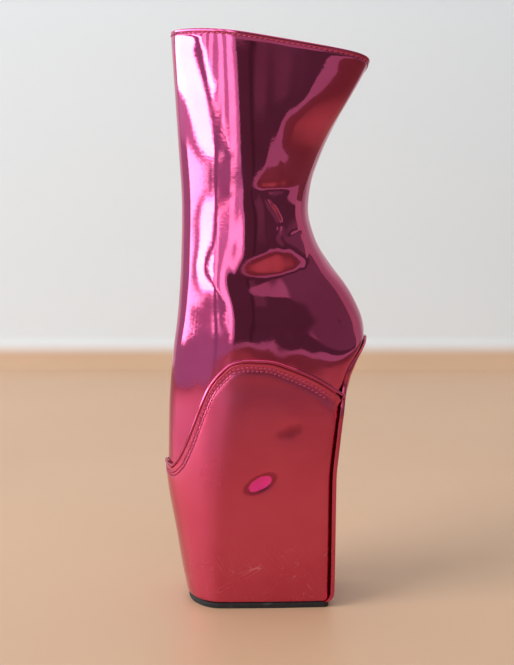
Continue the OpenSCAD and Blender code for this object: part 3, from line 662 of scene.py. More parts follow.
def strip_points(z):
    """Across the strip: a thin eased edge, flat on the wedge and as round as the heel above it.

    Its middle is thick enough to sit on them, and its lowest part bends forward on a quarter circle.
    """
    _, tail, half = wedge_reach(z)
    wide = larger(half, outer_half(z) + FOOT_GAP) * (1 - narrowing(z)) + WRAP_OUT
    way = np.clip((z - TONGUE_FROM) / (STRIP_TOP - TONGUE_FROM), 0, 1)
    on_heel = smoothstep(HEEL_FROM, HEEL_FULL, z)[:, None]
    wide = (wide * np.sqrt(np.maximum(1 - way**2, TONGUE_LEAST**2)))[:, None]
    wide = wide * (1 - NARROW_BY * smoothstep(NARROW_FROM, NARROW_FULL, z)[:, None])
    bend = STRIP_BEND * BEND_SHARE * eased(z - PLATFORM_Z, STRIP_BEND)
    seat_x = (middle_line(z) + tail + SEAT_GAP - bend)[:, None]
    line = (strip_back(z) - bend)[:, None]
    z = z[:, None]
    y = wide * np.sin(np.linspace(-1, 1, 44) * np.pi / 2)
    line = line + on_heel * (heel_back(z, y) - heel_back(z, wide))
    from_edge = wide - np.abs(y)
    ease = EASE_BY * eased(from_edge, EASE_R)
    edge_x = line - STRIP_T + THIN_BY * smoothstep(THIN_FROM, THIN_FULL, z)
    seated = smoothstep(SEAT_FROM, SEAT_FULL, from_edge)
    front = edge_x + EASE_FRONT * ease + seated * (np.minimum(seat_x, edge_x) - edge_x)
    faces = [np.stack(np.broadcast_arrays(x, y, z), -1) for x in (front, line - ease)]
    return closed(*faces)


leather_pieces.append(lofted("leather_back_sole", strip_points(strip_z), "back_sole"))

# %% The rubber outsole
sole_turn = np.concatenate([
    np.linspace(0, np.radians(38), 20),
    np.linspace(CORNER_TO, CORNER_FROM, 10),
    np.radians(np.linspace(SIDE_TURN, 180, 80)),
])
sole_turn = np.concatenate([sole_turn, 2 * np.pi - sole_turn[-2:0:-1]])
rubber_top = [[-14, 4.2], [0.9, 4.2], [1.25, 4.1], [1.4, 3.8], [1.4, 2.6]]
rubber_groove = [[1.15, 2.4], [1.15, 2.1], [1.4, 1.9], [1.4, 0.6], [1.2, 0.15]]
rubber_tread = [[0.7, 0], [-4.2, 0], [-4.5, 0.7], [-5.6, 0.7], [-5.9, 0], [-14, 0]]


def plan_stack(steps, at=None):
    """Outlines of the wedge, stepped out and up as listed, drawn to a point at both ends.

    Each has the plan of the wedge at its own height, or all have the plan at the one height given.
    """
    out, up = np.array(steps, float).T[..., None]
    grid = wedge(up if at is None else at + 0 * up, sole_turn[None], out)
    grid[..., 2] = up
    ends = grid[[0, -1]].mean(axis=1, keepdims=True) + 0 * grid[[0, -1]]
    return np.concatenate([ends[:1], grid, ends[1:]])


def stack_piece(name, grid, node):
    """A stack of closed outlines as a piece."""
    return piece(name, grid, cells(*grid.shape[:2], ring_cols=True), node)


sole_grid = plan_stack(rubber_top + rubber_groove + rubber_tread, at=0.0)
outsole = stack_piece("rubber_outsole", sole_grid, "outsole")

# %% [markdown]
# ## Inside the shaft
#
# Under the foil lie stiffeners at the heel and the toe, a tape round the rim and a soft lining. On the
# slope of the sole lie a steel shank, a board and a padded sock liner. Solidify could offset the panels,
# but each layer has its own outline, so the panel formula is used again a few millimetres deeper, with
# the same folds.

# %% Layers under the foil
BED_LOW, BED_HIGH, BED_TURN = 31.0, 156.7, np.radians(45)
COUNTER_TURN, PUFF_TURN, SHANK_TURN = np.radians(63), np.radians(54), np.radians(9)
BAND_GAP, BAND_HEIGHTS = 15.0, (-12, -5.5)


def layer_piece(node, turns, heights, depths, columns=90, rows=40, from_rim=False):
    """A shell of the foot between two turns and two heights, at two depths below the folds of the leather.

    The heights are measured from the floor or from the rim.
    """
    turn = np.linspace(*turns, columns)[:, None]
    z = np.linspace(*heights, rows) + (rim_z(turn) if from_rim else 0 * turn)
    shape = relief(z, turn)
    grid = shell(foot, z, turn, *[shape + depth for depth in depths])
    return lofted("layer_" + node, grid, node)


stiff_depths = (-1.7, -2.7)
puff_turns = (np.pi - PUFF_TURN, np.pi + PUFF_TURN)
band_turns = (zip_turn(RIM_LEVEL, -BAND_GAP), 2 * np.pi + zip_turn(RIM_LEVEL, BAND_GAP))
counter_turns = (-COUNTER_TURN, COUNTER_TURN)
counter = layer_piece("heel_counter", counter_turns, (177.0, 263.0), stiff_depths)
puff = layer_piece("toe_puff", puff_turns, (19.8, 79.6), stiff_depths)
shank = layer_piece("shank", (-SHANK_TURN, SHANK_TURN), (64.7, 143.3), (-4.1, -5.5), 20, 60)
bed_turns = (-BED_TURN, BED_TURN)
board = layer_piece("insole_board", bed_turns, (BED_LOW, BED_HIGH), (-5.8, -7.4), 60, 60)
band_depths = (-1.75, -2.65)
rim_band = layer_piece("rim_tape", band_turns, BAND_HEIGHTS, band_depths, 160, 6, from_rim=True)


# %% The lining
LINING_OUT, LINING_IN, LINING_SLOT, LINING_DROP = -3.0, -3.8, 6.0, 0.5
LEAN_OUT, LEAN_IN = 1.3, 0.6


def lining_points(columns, levels):
    """A shell from one side of the zip slot round to the other, leaning out to the leather at the rim."""
    z0 = level_z[::levels]
    share = (z0 - TOE_Z) / (level_z[-1] - TOE_Z)
    first = zip_turn(z0, -slot_half(z0, LINING_SLOT), LINING_OUT)
    last = 2 * np.pi + zip_turn(z0, slot_half(z0, LINING_SLOT), LINING_OUT)
    turn = first + (last - first) * np.linspace(0, 1, columns)[:, None]
    z = TOE_Z + (rim_z(turn) - LINING_DROP - TOE_Z) * share
    lean = LEAN_OUT * (1 - smoothstep(1.2, 5.0, rim_z(turn) - z))
    shape = relief(z, turn)
    return shell(foot, z, turn, shape + LINING_OUT + lean, shape + LINING_IN + LEAN_IN * lean)


lining = lofted("lining_soft", lining_points(180, 2), "lining")


# %% The padded sock liner
PAD_AT, PAD_CROWN, PAD_BELLY, PAD_INSET = -8.3, 2.3, 0.55, 0.6


def pad_points(across, along):
    """A flat pad on the board: its top is crowned, and top and bottom meet in a soft edge all round."""
    u, v = np.linspace(-1, 1, across), np.linspace(0, 1, along)[:, None]
    crown = np.sqrt((1 - u**6) * (1 - (2 * v - 1) ** 10))
    turn = BED_TURN * 0.99 * u + 0 * v
    z = BED_LOW + PAD_INSET + (BED_HIGH - BED_LOW - 2 * PAD_INSET) * v + 0 * u
    return closed(foot(z, turn, PAD_AT - PAD_CROWN * crown), foot(z, turn, PAD_AT + PAD_BELLY * crown))


sock = lofted("sock_liner_pad", pad_points(50, 110), "sock_liner")


# %% The core of the wedge and its platform
CORE_LOW, BED_GAP = 19.5, 0.1
core_edge = outline([[0, 70], [45, 80], [90, 128], [135, 152], [180, 155]], 2.0, low=0.0, high=180.0)
base_steps = [[-14, 19.4], [-0.4, 19.4], [0, 19.0], [0, 12.0], [0, 5.0], [-0.4, 4.6], [-14, 4.6]]


def core_points(rows):
    """A ring round the foot: outside it is the wedge, inside it is the upper, and its top is a slope."""
    turn = sole_turn[:, None]
    top = core_edge(np.abs(180 - np.degrees(turn) % 360))
    z = CORE_LOW + (top - CORE_LOW) * np.linspace(0, 1, rows)
    return closed(wedge(z, turn, 0.0), foot(z, turn, BED_GAP))


core_grid = core_points(40)
core = piece("core_block", core_grid, cells(*core_grid.shape[:2], True, True), "wedge_core")
base = stack_piece("base_block", plan_stack(base_steps), "base_platform")

# %% [markdown]
# ## The zip
#
# The zip is moulded teeth on two woven tapes, a stop at each end, a slider with its pull, and a flap
# that keeps the teeth off the skin. Teeth could be one tooth with an Array modifier. As one array of
# rounded rings, every tooth has a head and a neck, and the rear row is half a pitch higher than the
# front row.

# %% Tapes and flap
CHAIN_Y, CHAIN_LOW, CHAIN_HIGH, PITCH = 34.85, 215.2, 417.8, 3.2
TAPE_OUT, TAPE_IN, TAPE_NEAR, TAPE_FAR, TAPE_DROP = -1.85, -2.45, 2.95, 13.9, 2.2
BEAD_AT, BEAD_HALF, BEAD_HIGH = 3.3, 0.32, 0.3
FLAP_Y, FLAP_T, FLAP_SET, FLAP_ROUND = 32.0, 0.8, 0.7, 5.6


def tape_points(side):
    """A woven band beside the teeth, with a thick bead along its inner edge."""
    z = np.linspace(ZIP_LOW, rim_z(np.pi / 2) - TAPE_DROP, 120)[:, None]
    dx = np.concatenate([TAPE_NEAR + np.array([0, 0.15, 0.35, 0.6, 0.85]), np.linspace(4.1, TAPE_FAR, 11)])
    bead = BEAD_HIGH * np.exp(-(((dx - BEAD_AT) / BEAD_HALF) ** 2))
    turn = zip_turn(z, side * dx, TAPE_OUT)
    shape = relief(z, turn)
    return closed(foot(z, turn, shape + TAPE_OUT + bead), foot(z, turn, shape + TAPE_IN))


def flap_points():
    """A flap behind the teeth: a thin S-shaped section, rounded at its free edge, carried up the zip."""
    z = np.linspace(ZIP_LOW, CHAIN_HIGH, 90)[:, None]
    x = np.concatenate([np.linspace(-13, -4, 14), np.linspace(-3, FLAP_ROUND, 6), [6.0, 6.3, 6.5]])
    y = FLAP_Y - FLAP_SET * smoothstep(-9.0, -5.5, x)
    past = np.maximum(x - FLAP_ROUND, 0)
    thick = FLAP_T * np.sqrt(np.clip(1 - past**2, 0.04, 1))
    front = np.stack(np.broadcast_arrays(ZIP_X + x, y - (FLAP_T - thick) / 2, z), -1)
    rear = np.stack(np.broadcast_arrays(ZIP_X + x, y - (FLAP_T + thick) / 2, z), -1)
    return closed(front, rear)


tapes = []
for tape_node, tape_side in (("zip_tape_front", -1), ("zip_tape_rear", 1)):
    tapes.append(lofted("woven_" + tape_node, tape_points(tape_side), tape_node))
flap = lofted("flap_zip_guard", flap_points(), "zip_guard")

# %% Teeth
TOOTH_WAY = np.array([0.45, 0.55, 0.85, 1.15, 1.5, 1.9, 2.7])
TOOTH_HIGH = np.array([0.3, 0.58, 0.76, 0.7, 0.5, 0.6, 0.7])
TOOTH_THICK = np.array([0.6, 0.95, 1.2, 1.25, 1.2, 1.2, 1.0])
TOOTH_FULL, TOOTH_START, SPINE_AT, SPINE_R = 1.12, 0.1, 2.3, 0.4


def joined(*parts):
    """Several grids of points with their faces as one."""
    start = np.cumsum([0] + [points[..., 0].size for points, _ in parts])
    all_points = np.concatenate([points.reshape(-1, 3) for points, _ in parts])
    return all_points, np.concatenate([faces + first for (_, faces), first in zip(parts, start)])


def squared(a, soft):
    """Cosine and sine of an angle raised to a small power, which draws a circle out to a rounded square."""
    c, s = np.cos(a), np.sin(a)
    return np.sign(c) * np.abs(c) ** soft, np.sign(s) * np.abs(s) ** soft


def teeth_points(side, shift):
    """Every tooth is seven rounded rings from its head over its neck to its root, one tooth per pitch."""
    count = int((CHAIN_HIGH - CHAIN_LOW - PITCH / 2) // PITCH)
    z = CHAIN_LOW + shift + PITCH / 4 + PITCH * np.arange(count)
    up, thick = TOOTH_FULL * np.array(squared(2 * np.pi * (np.arange(8) + 0.5) / 8, 0.7))
    x = ZIP_X + side * TOOTH_WAY[:, None]
    y = CHAIN_Y + TOOTH_THICK[:, None] * thick
    return np.stack(np.broadcast_arrays(x, y, z[:, None, None] + TOOTH_HIGH[:, None] * up), -1)


def spine_points(side):
    """A thin cord that joins the roots of the teeth along the tape."""
    z = np.linspace(CHAIN_LOW, CHAIN_HIGH, 60)
    path = np.stack([0 * z + ZIP_X + side * SPINE_AT, 0 * z + CHAIN_Y, z], -1)
    return rings(path, np.array([0, 1.0, 0]), SPINE_R + 0 * z, 8)


teeth = []
for teeth_node, teeth_side, teeth_shift in (("zip_teeth_front", -1, 0), ("zip_teeth_rear", 1, PITCH / 2)):
    tooth_grid = teeth_points(teeth_side, TOOTH_START + teeth_shift)
    spine_grid = spine_points(teeth_side)
    points, faces = joined((tooth_grid, tube_faces(tooth_grid)), (spine_grid, loft(spine_grid)))
    teeth.append(piece("moulded_" + teeth_node, points, faces, teeth_node, sharp=50))

# %% Stops
BLOCK_U, BLOCK_V = np.linspace(-np.pi / 2, np.pi / 2, 17)[:, None], 2 * np.pi * np.arange(32) / 32
BLOCK_FACES = cells(17, 32, ring_cols=True)
TOP_STOP_X, TOP_STOP_Z, LOW_STOP_Z = 1.75, 419.5, 213.5
zip_metal = []


def block(centre, half, soft=0.35):
    """A rounded block: a ball whose sines and cosines are raised to a small power, with its faces."""
    (cu, su), (cv, sv) = squared(BLOCK_U, soft), squared(BLOCK_V, soft)
    ball = np.stack(np.broadcast_arrays(cu * cv, cu * sv, su), -1)
    return np.array(centre) + ball * np.array(half), BLOCK_FACES


def cast(node, parts, body="boot"):
    """Blocks, plates and rings with their faces as one piece of metal."""
    points, faces = joined(*parts)
    zip_metal.append(piece("metal_" + node, points, faces, node, body=body, sharp=60))


top_places = [(ZIP_X + x, CHAIN_Y, TOP_STOP_Z) for x in (-TOP_STOP_X, TOP_STOP_X)]
cast("zip_top_stops", [block(place, (0.95, 1.3, 1.5)) for place in top_places])
cast("zip_bottom_stop", [block((ZIP_X, CHAIN_Y, LOW_STOP_Z), (2.7, 1.3, 1.5))])

# %% [markdown]
# ## The slider and its pull
#
# A slider is cast as two plates that a post holds apart, with two ears on top for the pin of the pull.
# The pull is an eye on that pin, a neck, and a tab with a long opening to grip. Bevelled boxes could
# stand for them. Here each plate is one outline carried over a rounded edge, and the tab is a flat
# section carried round a loop.

# %% The slider
SLIDER_Z, SLIDER_L, SLIDER_W, SLIDER_T = 411.5, 12.0, 9.0, 1.2
INNER_PLATE_Y, OUTER_PLATE_Y, EAR_X, EAR_R = 31.85, 36.65, 2.45, 1.5
PIN_Y, PIN_Z, PIN_R, FLANGE_X, FLANGE_Y = 39.85, 414.5, 0.7, 4, 36.4


def plate(low_y):
    """A shield, broad above and slimmer below, drawn in on both sides of a round edge, with its faces."""
    across, up = squared(2 * np.pi * np.arange(64) / 64, 0.62)
    shield = np.stack([SLIDER_W / 2 * across * (0.9 + 0.1 * up), 0 * up, SLIDER_L / 2 * up], -1)
    share = np.array([0, 0.85, 0.95, 0.99, 1, 0.99, 0.95, 0.85, 0])
    y = low_y + SLIDER_T * np.array([0, 0, 0.06, 0.25, 0.5, 0.75, 0.94, 1, 1])
    middle = np.stack([0 * y + ZIP_X, y, 0 * y + SLIDER_Z], -1)
    return share[:, None, None] * shield + middle[:, None], cells(9, 64, ring_cols=True)


def pin_points():
    """A round bar along X through the ears, with round ends."""
    x = EAR_X * np.sin(np.linspace(-np.pi / 2, np.pi / 2, 9))
    path = np.stack([ZIP_X + x, 0 * x + PIN_Y, 0 * x + PIN_Z], -1)
    radius = PIN_R * np.sqrt(np.clip(1.02 - (x / EAR_X) ** 8, 0.02, 1))
    return rings(path, np.array([0, 1.0, 0]), radius, 20)


pin = pin_points()
slider_parts = [plate(INNER_PLATE_Y), plate(OUTER_PLATE_Y), block((ZIP_X, CHAIN_Y, PIN_Z), (0.3, 2.4, 1.5))]
slider_parts += [block((ZIP_X + x, FLANGE_Y, SLIDER_Z), (0.5, 0.35, 3.0)) for x in (-FLANGE_X, FLANGE_X)]
ear_half = (0.45, EAR_R + 0.4, EAR_R)
slider_parts += [block((ZIP_X + x, PIN_Y - 0.4, PIN_Z), ear_half, 0.55) for x in (-EAR_X, EAR_X)]
cast("zip_slider", slider_parts + [(pin, loft(pin))], body="slider")

# %% The pull
PULL_T, PULL_HALF, BAR_HALF, BORE_R, EYE_R, EYE_HALF = 0.6, 3.2, 1.0, 0.76, 1.5, 1.5
TAB_TOP, TAB_LOW, TAB_ROUND, NECK_AT, HEAD_AT = 405.6, 390.7, 0.8, 411.9, 408.3


def eye_points():
    """A thick ring round the pin: a rounded section carried round a circle."""
    round_pin = 2 * np.pi * np.arange(32)[:, None] / 32
    along, out = squared(2 * np.pi * np.arange(20) / 20, 0.5)
    radius = (EYE_R + BORE_R) / 2 + (EYE_R - BORE_R) / 2 * out
    y, z = PIN_Y + radius * np.cos(round_pin), PIN_Z + radius * np.sin(round_pin)
    return np.stack(np.broadcast_arrays(ZIP_X + EYE_HALF * along, y, z), -1)


def tab_points():
    """The tab as a loop: straight sides, a half circle below, round corners above, and a flat section."""
    reach = PULL_HALF - BAR_HALF
    lower, upper = np.linspace(np.pi, 2 * np.pi, 33), np.linspace(0, np.pi / 2, 9)
    side = np.linspace(0, 1, 12)[1:-1]
    right = np.stack([reach + 0 * side, TAB_LOW + side * (TAB_TOP - TAB_ROUND - TAB_LOW)], -1)
    bow = np.stack([reach * np.cos(lower), TAB_LOW + reach * np.sin(lower)], -1)
    corner_x = reach - TAB_ROUND * (1 - np.cos(upper))
    corner = np.stack([corner_x, TAB_TOP - TAB_ROUND * (1 - np.sin(upper))], -1)
    mirror = np.array([-1, 1])
    loop = np.concatenate([bow, right, corner, corner[::-1] * mirror, right[::-1] * mirror])
    way = unit(np.roll(loop, -1, axis=0) - np.roll(loop, 1, axis=0))
    out, thick = squared(2 * np.pi * np.arange(20) / 20, 0.55)
    flat = loop[:, None] + BAR_HALF * out[:, None] * np.stack([way[:, 1], -way[:, 0]], -1)[:, None]
    return np.stack(np.broadcast_arrays(ZIP_X + flat[..., 0], PIN_Y + PULL_T * thick, flat[..., 1]), -1)


tab, eye_ring = [(grid, cells(*grid.shape[:2], True, True)) for grid in (tab_points(), eye_points())]
neck = block((ZIP_X, PIN_Y, NECK_AT), (EYE_HALF, PULL_T, 1.7))
head = block((ZIP_X, PIN_Y, HEAD_AT), (PULL_HALF, PULL_T, 3.3), 0.3)
cast("zip_pull", [tab, neck, head, eye_ring], body="pull")

# %% [markdown]
# ## Shader arithmetic
#
# A finish is a small network of nodes. Wiring it by hand takes a line for each link, which hides the
# idea. Here a small class wraps one output of a node, so that `1 - mask` or `0.1 + 0.2 * noise` adds its
# Math nodes itself.

# %% A wire with operators
class Wire:
    """One output of a node. Arithmetic on it adds Math nodes, and add() puts in any other node."""

    def __init__(self, tree, socket=None):
        self.tree, self.socket = tree, socket

    def add(self, kind, settings=None, inputs=None, out=0):
        """A new node: first its settings, then the values or links of its inputs, by name or number."""
        node = self.tree.nodes.new("ShaderNode" + kind)
        for key, value in (settings or {}).items():
            setattr(node, key, value)
        for key, value in (inputs or {}).items():
            if isinstance(value, Wire):
                self.tree.links.new(value.socket, node.inputs[key])
            else:
                node.inputs[key].default_value = value
        return Wire(self.tree, node.outputs[out] if node.outputs else None)

    def math(self, operation, *values):
        """A Math node on the given values."""
        return self.add("Math", {"operation": operation}, dict(enumerate(values)))

    def __add__(self, other):
        return self.math("ADD", self, other)

    def __sub__(self, other):
        return self.math("SUBTRACT", self, other)

    def __rsub__(self, other):
        return self.math("SUBTRACT", other, self)

    def __mul__(self, other):
        return self.math("MULTIPLY", self, other)

    def __abs__(self):
        return self.math("ABSOLUTE", self)

    def __pow__(self, other):
        return self.math("POWER", self, other)

    __radd__, __rmul__ = __add__, __mul__

    def between(self, low, high):
        """0 below low, 1 above high, smooth between."""
        return self.add("MapRange", {"interpolation_type": "SMOOTHSTEP"}, {0: self, 1: low, 2: high})

    def blend(self, first, second):
        """A colour from first to second as this value goes from 0 to 1."""
        return self.add("Mix", {"data_type": "RGBA"}, {0: self, 6: first, 7: second}, out=2)

    def noise(self, place, scale, detail=2.0, stretch=(1, 1, 1)):
        """Cloudy noise, about one blob for each 1 / scale metres, squeezed along the axes by stretch."""
        spread = self.add("Mapping", {"vector_type": "POINT"}, {"Vector": place, "Scale": stretch})
        return self.add("TexNoise", {}, {"Vector": spread, "Scale": scale, "Detail": detail})

    def band(self, rise, fall):
        """1 between two soft edges, each from its low to its high value."""
        return self.between(*rise) * (1 - self.between(*fall))

    def axes(self, place, unit_length=1.0):
        """The three coordinates of a place, in a unit of so many metres."""
        parts = [self.add("SeparateXYZ", {}, {"Vector": place}, out=number) for number in range(3)]
        return [part * (1 / unit_length) for part in parts]

    def bump(self, height, strength, distance):
        """Normals tilted by a height, with a strength from 0 to 1 and a distance in metres."""
        return self.add("Bump", {}, {"Height": height, "Strength": strength, "Distance": distance})


def finish(name, sockets_of, *values):
    """A material whose main shader takes the sockets that sockets_of(net, place, *values) returns."""
    made = bpy.data.materials.new(name)
    made.use_nodes = True
    made.node_tree.nodes.clear()
    net = Wire(made.node_tree)
    place = net.add("TexCoord", out=3)
    shader = net.add("BsdfPrincipled", {}, sockets_of(net, place, *values))
    net.add("OutputMaterial", {}, {"Surface": shader})
    print("finish:", name, len(made.node_tree.nodes), "nodes")
    return made


def dress(pieces, made):
    """Gives each piece one material."""
    for one in pieces:
        one.data.materials.clear()
        one.data.materials.append(made)


# %% [markdown]
# ## Pink foil leather
#
# Foil leather is a thin coloured metal film on a soft backing: it mirrors the room, tinted pink, and it
# blurs a little where it is rubbed. A metallic shader with a low roughness gives the mirror. Noise
# varies its roughness and tint, and two fine bumps give it the faint orange peel of film on leather.

# %% The foil finish
PINK, DEEP_PINK = (0.63, 0.088, 0.205, 1), (0.56, 0.066, 0.16, 1)
FOIL_COAT, FINE_BUMP = 0.25, 0.0002


def orange_peel(net, place):
    """Fine bumps of film on leather: a noise of about 2 mm and a weaker one of less than 1 mm."""
    return net.noise(place, 420.0, 2.0) + 0.35 * net.noise(place, 1500.0, 1.0)


def foil_sockets(net, place):
    """Metal of a cloudy pink tint, a little rougher where it is rubbed."""
    cloud = net.noise(place, 26.0, 3.0)
    return {
        "Base Color": cloud.between(0.3, 0.8).blend(PINK, DEEP_PINK),
        "Metallic": 1.0,
        "Coat Weight": FOIL_COAT,
        "Roughness": 0.04 + 0.04 * cloud.between(0.45, 0.75),
        "Normal": net.bump(orange_peel(net, place), 0.06, FINE_BUMP),
    }


dress(leather_pieces, finish("foil_upper", foil_sockets))


# %% Wear on the wrap
RED_PINK, DEEP_RED, SMUDGED = (0.64, 0.085, 0.165, 1), (0.57, 0.06, 0.12, 1), (0.2, 0.012, 0.04, 1)
SCRATCHED, MARKED = (0.9, 0.45, 0.52, 1), (0.82, 0.025, 0.25, 1)
MARK, SMUDGE = ((-4.5, 98), (12.5, 5.6), 30), ((18, 138), (13, 6), 20)
SCRATCH_TILTS, SCRATCH_FULL, SCRATCH_NONE = (0.5, -0.9, 1.9), 30, 62


def spot(x, z, centre, size, tilt):
    """Squared distance from the middle of an oval: 0 in its middle and 1 on its edge."""
    c, s = float(np.cos(np.radians(tilt))), float(np.sin(np.radians(tilt)))
    u = (x - centre[0]) * (c / size[0]) + (z - centre[1]) * (s / size[0])
    v = (z - centre[1]) * (c / size[1]) - (x - centre[0]) * (s / size[1])
    return u**2 + v**2


def scratches(net, place, tilt):
    """Straight scratches: thin contour lines of a noise drawn out one way, broken up by a second one."""
    turned = net.add("Mapping", {"vector_type": "POINT"}, {"Vector": place, "Rotation": (0, tilt, 0)})
    drawn = net.noise(turned, 200.0, 0.0, stretch=(0.07, 1, 1))
    line = 1 - abs(drawn - 0.5).between(0.0, 0.008)
    return line * net.noise(turned, 45.0, 1.0).between(0.48, 0.62)


def worn_wrap(net, place):
    """Satin foil with a bright mark in a dent, a dark smudge, slow stains and scratches near the floor."""
    x, y, z = net.axes(place, MM)
    outer = 1 - y.between(-2.0, 0.0)
    ragged = 0.5 * net.noise(place, 190.0, 3.0)
    mark = spot(x, z, *MARK) + ragged
    middle = outer * (1 - mark.between(0.75, 1.0))
    ring = outer * mark.band((0.7, 1.0), (1.25, 1.9))
    smudge = outer * (1 - (spot(x, z, *SMUDGE) + 2 * ragged).between(0.3, 1.7))
    cloud = net.noise(place, 18.0, 4.0)
    low = sum(scratches(net, place, tilt) for tilt in SCRATCH_TILTS)
    low = low * (1 - z.between(SCRATCH_FULL, SCRATCH_NONE))
    tint = cloud.between(0.3, 0.8).blend(RED_PINK, DEEP_RED)
    tint = (0.55 * smudge + 0.6 * ring).blend(tint, SMUDGED)
    tint = (0.3 * low).blend(tint, SCRATCHED)
    return {
        "Base Color": middle.blend(tint, MARKED),
        "Metallic": 1 - 0.75 * middle,
        "Coat Weight": FOIL_COAT,
        "Roughness": 0.22 + 0.1 * cloud.between(0.4, 0.8) + 0.15 * low,
        "Normal": net.bump(orange_peel(net, place) - 1.5 * low, 0.07, FINE_BUMP),
    }


worn_names = ("leather_wrap", "leather_back_sole")
dress([one for one in leather_pieces if one.name in worn_names], finish("foil_wrap", worn_wrap))


# %% Thread and rubber
THREAD_LIGHT, THREAD_DARK = (0.62, 0.09, 0.2, 1), (0.42, 0.05, 0.13, 1)
# Painted shade: the near-black of the needle holes, given to both ends of each stitch.
PAINTED_HOLE_SHADE = (0.05, 0.004, 0.012, 1)
RUBBER, SCUFFED = (0.012, 0.011, 0.012, 1), (0.05, 0.047, 0.045, 1)


def thread_sockets(net, place):
    """Glossy pink thread with a fine twist, and painted shade where it goes down into its needle holes."""
    along = net.add("Attribute", {"attribute_name": "along"}, out=2)
    twist = net.noise(place, 2600.0, 2.0)
    pink = twist.between(0.3, 0.7).blend(THREAD_LIGHT, THREAD_DARK)
    return {
        # Painted shade at both ends of each stitch, where the thread goes down into its needle holes.
        "Base Color": abs(along).between(0.55, 0.85).blend(pink, PAINTED_HOLE_SHADE),
        "Metallic": 0.7,
        "Roughness": 0.26 + 0.2 * twist,
        "Normal": net.bump(twist, 0.3, FINE_BUMP),
    }


def rubber_sockets(net, place):
    """Near-black rubber with a matt grain and a few grey scuffs."""
    grain = net.noise(place, 1800.0, 3.0)
    scuff = net.noise(place, 90.0, 5.0).between(0.58, 0.75)
    return {
        "Base Color": scuff.blend(RUBBER, SCUFFED),
        "Roughness": 0.55 + 0.3 * grain,
        "Normal": net.bump(grain, 0.4, FINE_BUMP),
    }


dress(thread_pieces, finish("waxed_thread", thread_sockets))
dress([outsole], finish("sole_rubber", rubber_sockets))

# %% [markdown]
# ## Finishes of the hidden and the small pieces
#
# A boot on a bench is also seen from inside and from its zip side. The lining is a soft dark leather
# with a pebbled grain, the tapes are a fine twill, the stiffeners are pressed fibre. Each could share
# one grey, but a short formula of noise or waves gives every one its own scale.

# %% Soft finishes
BLACK_PLUM, PLUM = (0.016, 0.010, 0.013, 1), (0.05, 0.032, 0.04, 1)
DARK_PLUM, PALE_PLUM = (0.03, 0.018, 0.023, 1), (0.085, 0.05, 0.062, 1)
FIBRE, PALE_FIBRE = (0.36, 0.26, 0.15, 1), (0.62, 0.5, 0.34, 1)
BOARD, PALE_BOARD = (0.28, 0.17, 0.09, 1), (0.5, 0.36, 0.22, 1)
CORK, PALE_CORK = (0.5, 0.38, 0.24, 1), (0.66, 0.52, 0.36, 1)
TAPE_DARK, TAPE_LIGHT, RIBS = (0.035, 0.004, 0.014, 1), (0.16, 0.018, 0.06, 1), 9.0


def grained(net, place, dark, light, scale, rough, depth):
    """Leather or felt: cells of a pebbled grain, darker in the creases, with a cloudy tone."""
    pebble = net.add("TexVoronoi", {"feature": "SMOOTH_F1"}, {"Vector": place, "Scale": scale})
    cloud = net.noise(place, 40.0, 4.0)
    crease = pebble.between(0.25, 0.75)
    return {
        "Base Color": (0.6 * crease + 0.5 * cloud).blend(light, dark),
        "Roughness": rough + 0.15 * cloud,
        "Sheen Weight": 0.15,
        "Normal": net.bump(1 - crease + 0.3 * cloud, 0.5, depth),
    }


def pressed(net, place, dark, light, stretch):
    """Pressed fibre or cork: drawn-out flecks over a cloudy tone."""
    fleck = net.noise(place, 700.0, 3.0, stretch)
    cloud = net.noise(place, 60.0, 4.0)
    return {
        "Base Color": (0.7 * fleck.between(0.35, 0.7) + 0.3 * cloud).blend(dark, light),
        "Roughness": 0.7 + 0.2 * fleck,
        "Normal": net.bump(fleck, 0.4, 0.0003),
    }


def twill_sockets(net, place):
    """Woven tape: two families of slanting ribs that cross, one over the other."""
    x, _, z = net.axes(place, MM)
    over, under = (x + z * 0.6) * RIBS, (z * 0.6 - x) * RIBS
    weave = 0.5 + 0.3 * over.math("SINE", over) + 0.2 * under.math("SINE", under)
    fuzz = net.noise(place, 2200.0, 2.0)
    return {
        "Base Color": (weave + 0.2 * fuzz).blend(TAPE_DARK, TAPE_LIGHT),
        "Roughness": 0.75 + 0.2 * fuzz,
        "Sheen Weight": 0.2,
        "Normal": net.bump(weave + 0.4 * fuzz, 0.6, FINE_BUMP),
    }


soft_looks = [
    ([lining, flap], "lining_leather", grained, BLACK_PLUM, PLUM, 900.0, 0.55, 0.0003),
    ([sock], "sock_leather", grained, DARK_PLUM, PALE_PLUM, 700.0, 0.5, 0.0004),
    ([counter, puff, rim_band], "pressed_fibre", pressed, FIBRE, PALE_FIBRE, (1, 1, 0.25)),
    ([board], "insole_fibre", pressed, BOARD, PALE_BOARD, (1, 1, 1)),
    ([core, base], "wedge_cork", pressed, CORK, PALE_CORK, (0.5, 0.5, 0.5)),
    (tapes, "twill_tape", twill_sockets),
]
for pieces, *look in soft_looks:
    dress(pieces, finish(*look))


# %% Metal finishes
NICKEL, DULL_NICKEL = (0.66, 0.63, 0.60, 1), (0.40, 0.37, 0.35, 1)
STEEL, DULL_STEEL = (0.45, 0.46, 0.48, 1), (0.3, 0.29, 0.28, 1)
TOOTH_PINK, DULL_TOOTH = (0.62, 0.12, 0.24, 1), (0.45, 0.06, 0.14, 1)


def metal(net, place, tint, worn, rough, stretch):
    """Polished or brushed metal: fine drawn-out lines in its roughness and a little tarnish."""
    line = net.noise(place, 1600.0, 2.0, stretch)
    tarnish = net.noise(place, 220.0, 4.0).between(0.5, 0.8)
    return {
        "Base Color": tarnish.blend(tint, worn),
        "Metallic": 1.0,
        "Roughness": rough + 0.12 * line + 0.15 * tarnish,
        "Normal": net.bump(line, 0.1, 0.0001),
    }


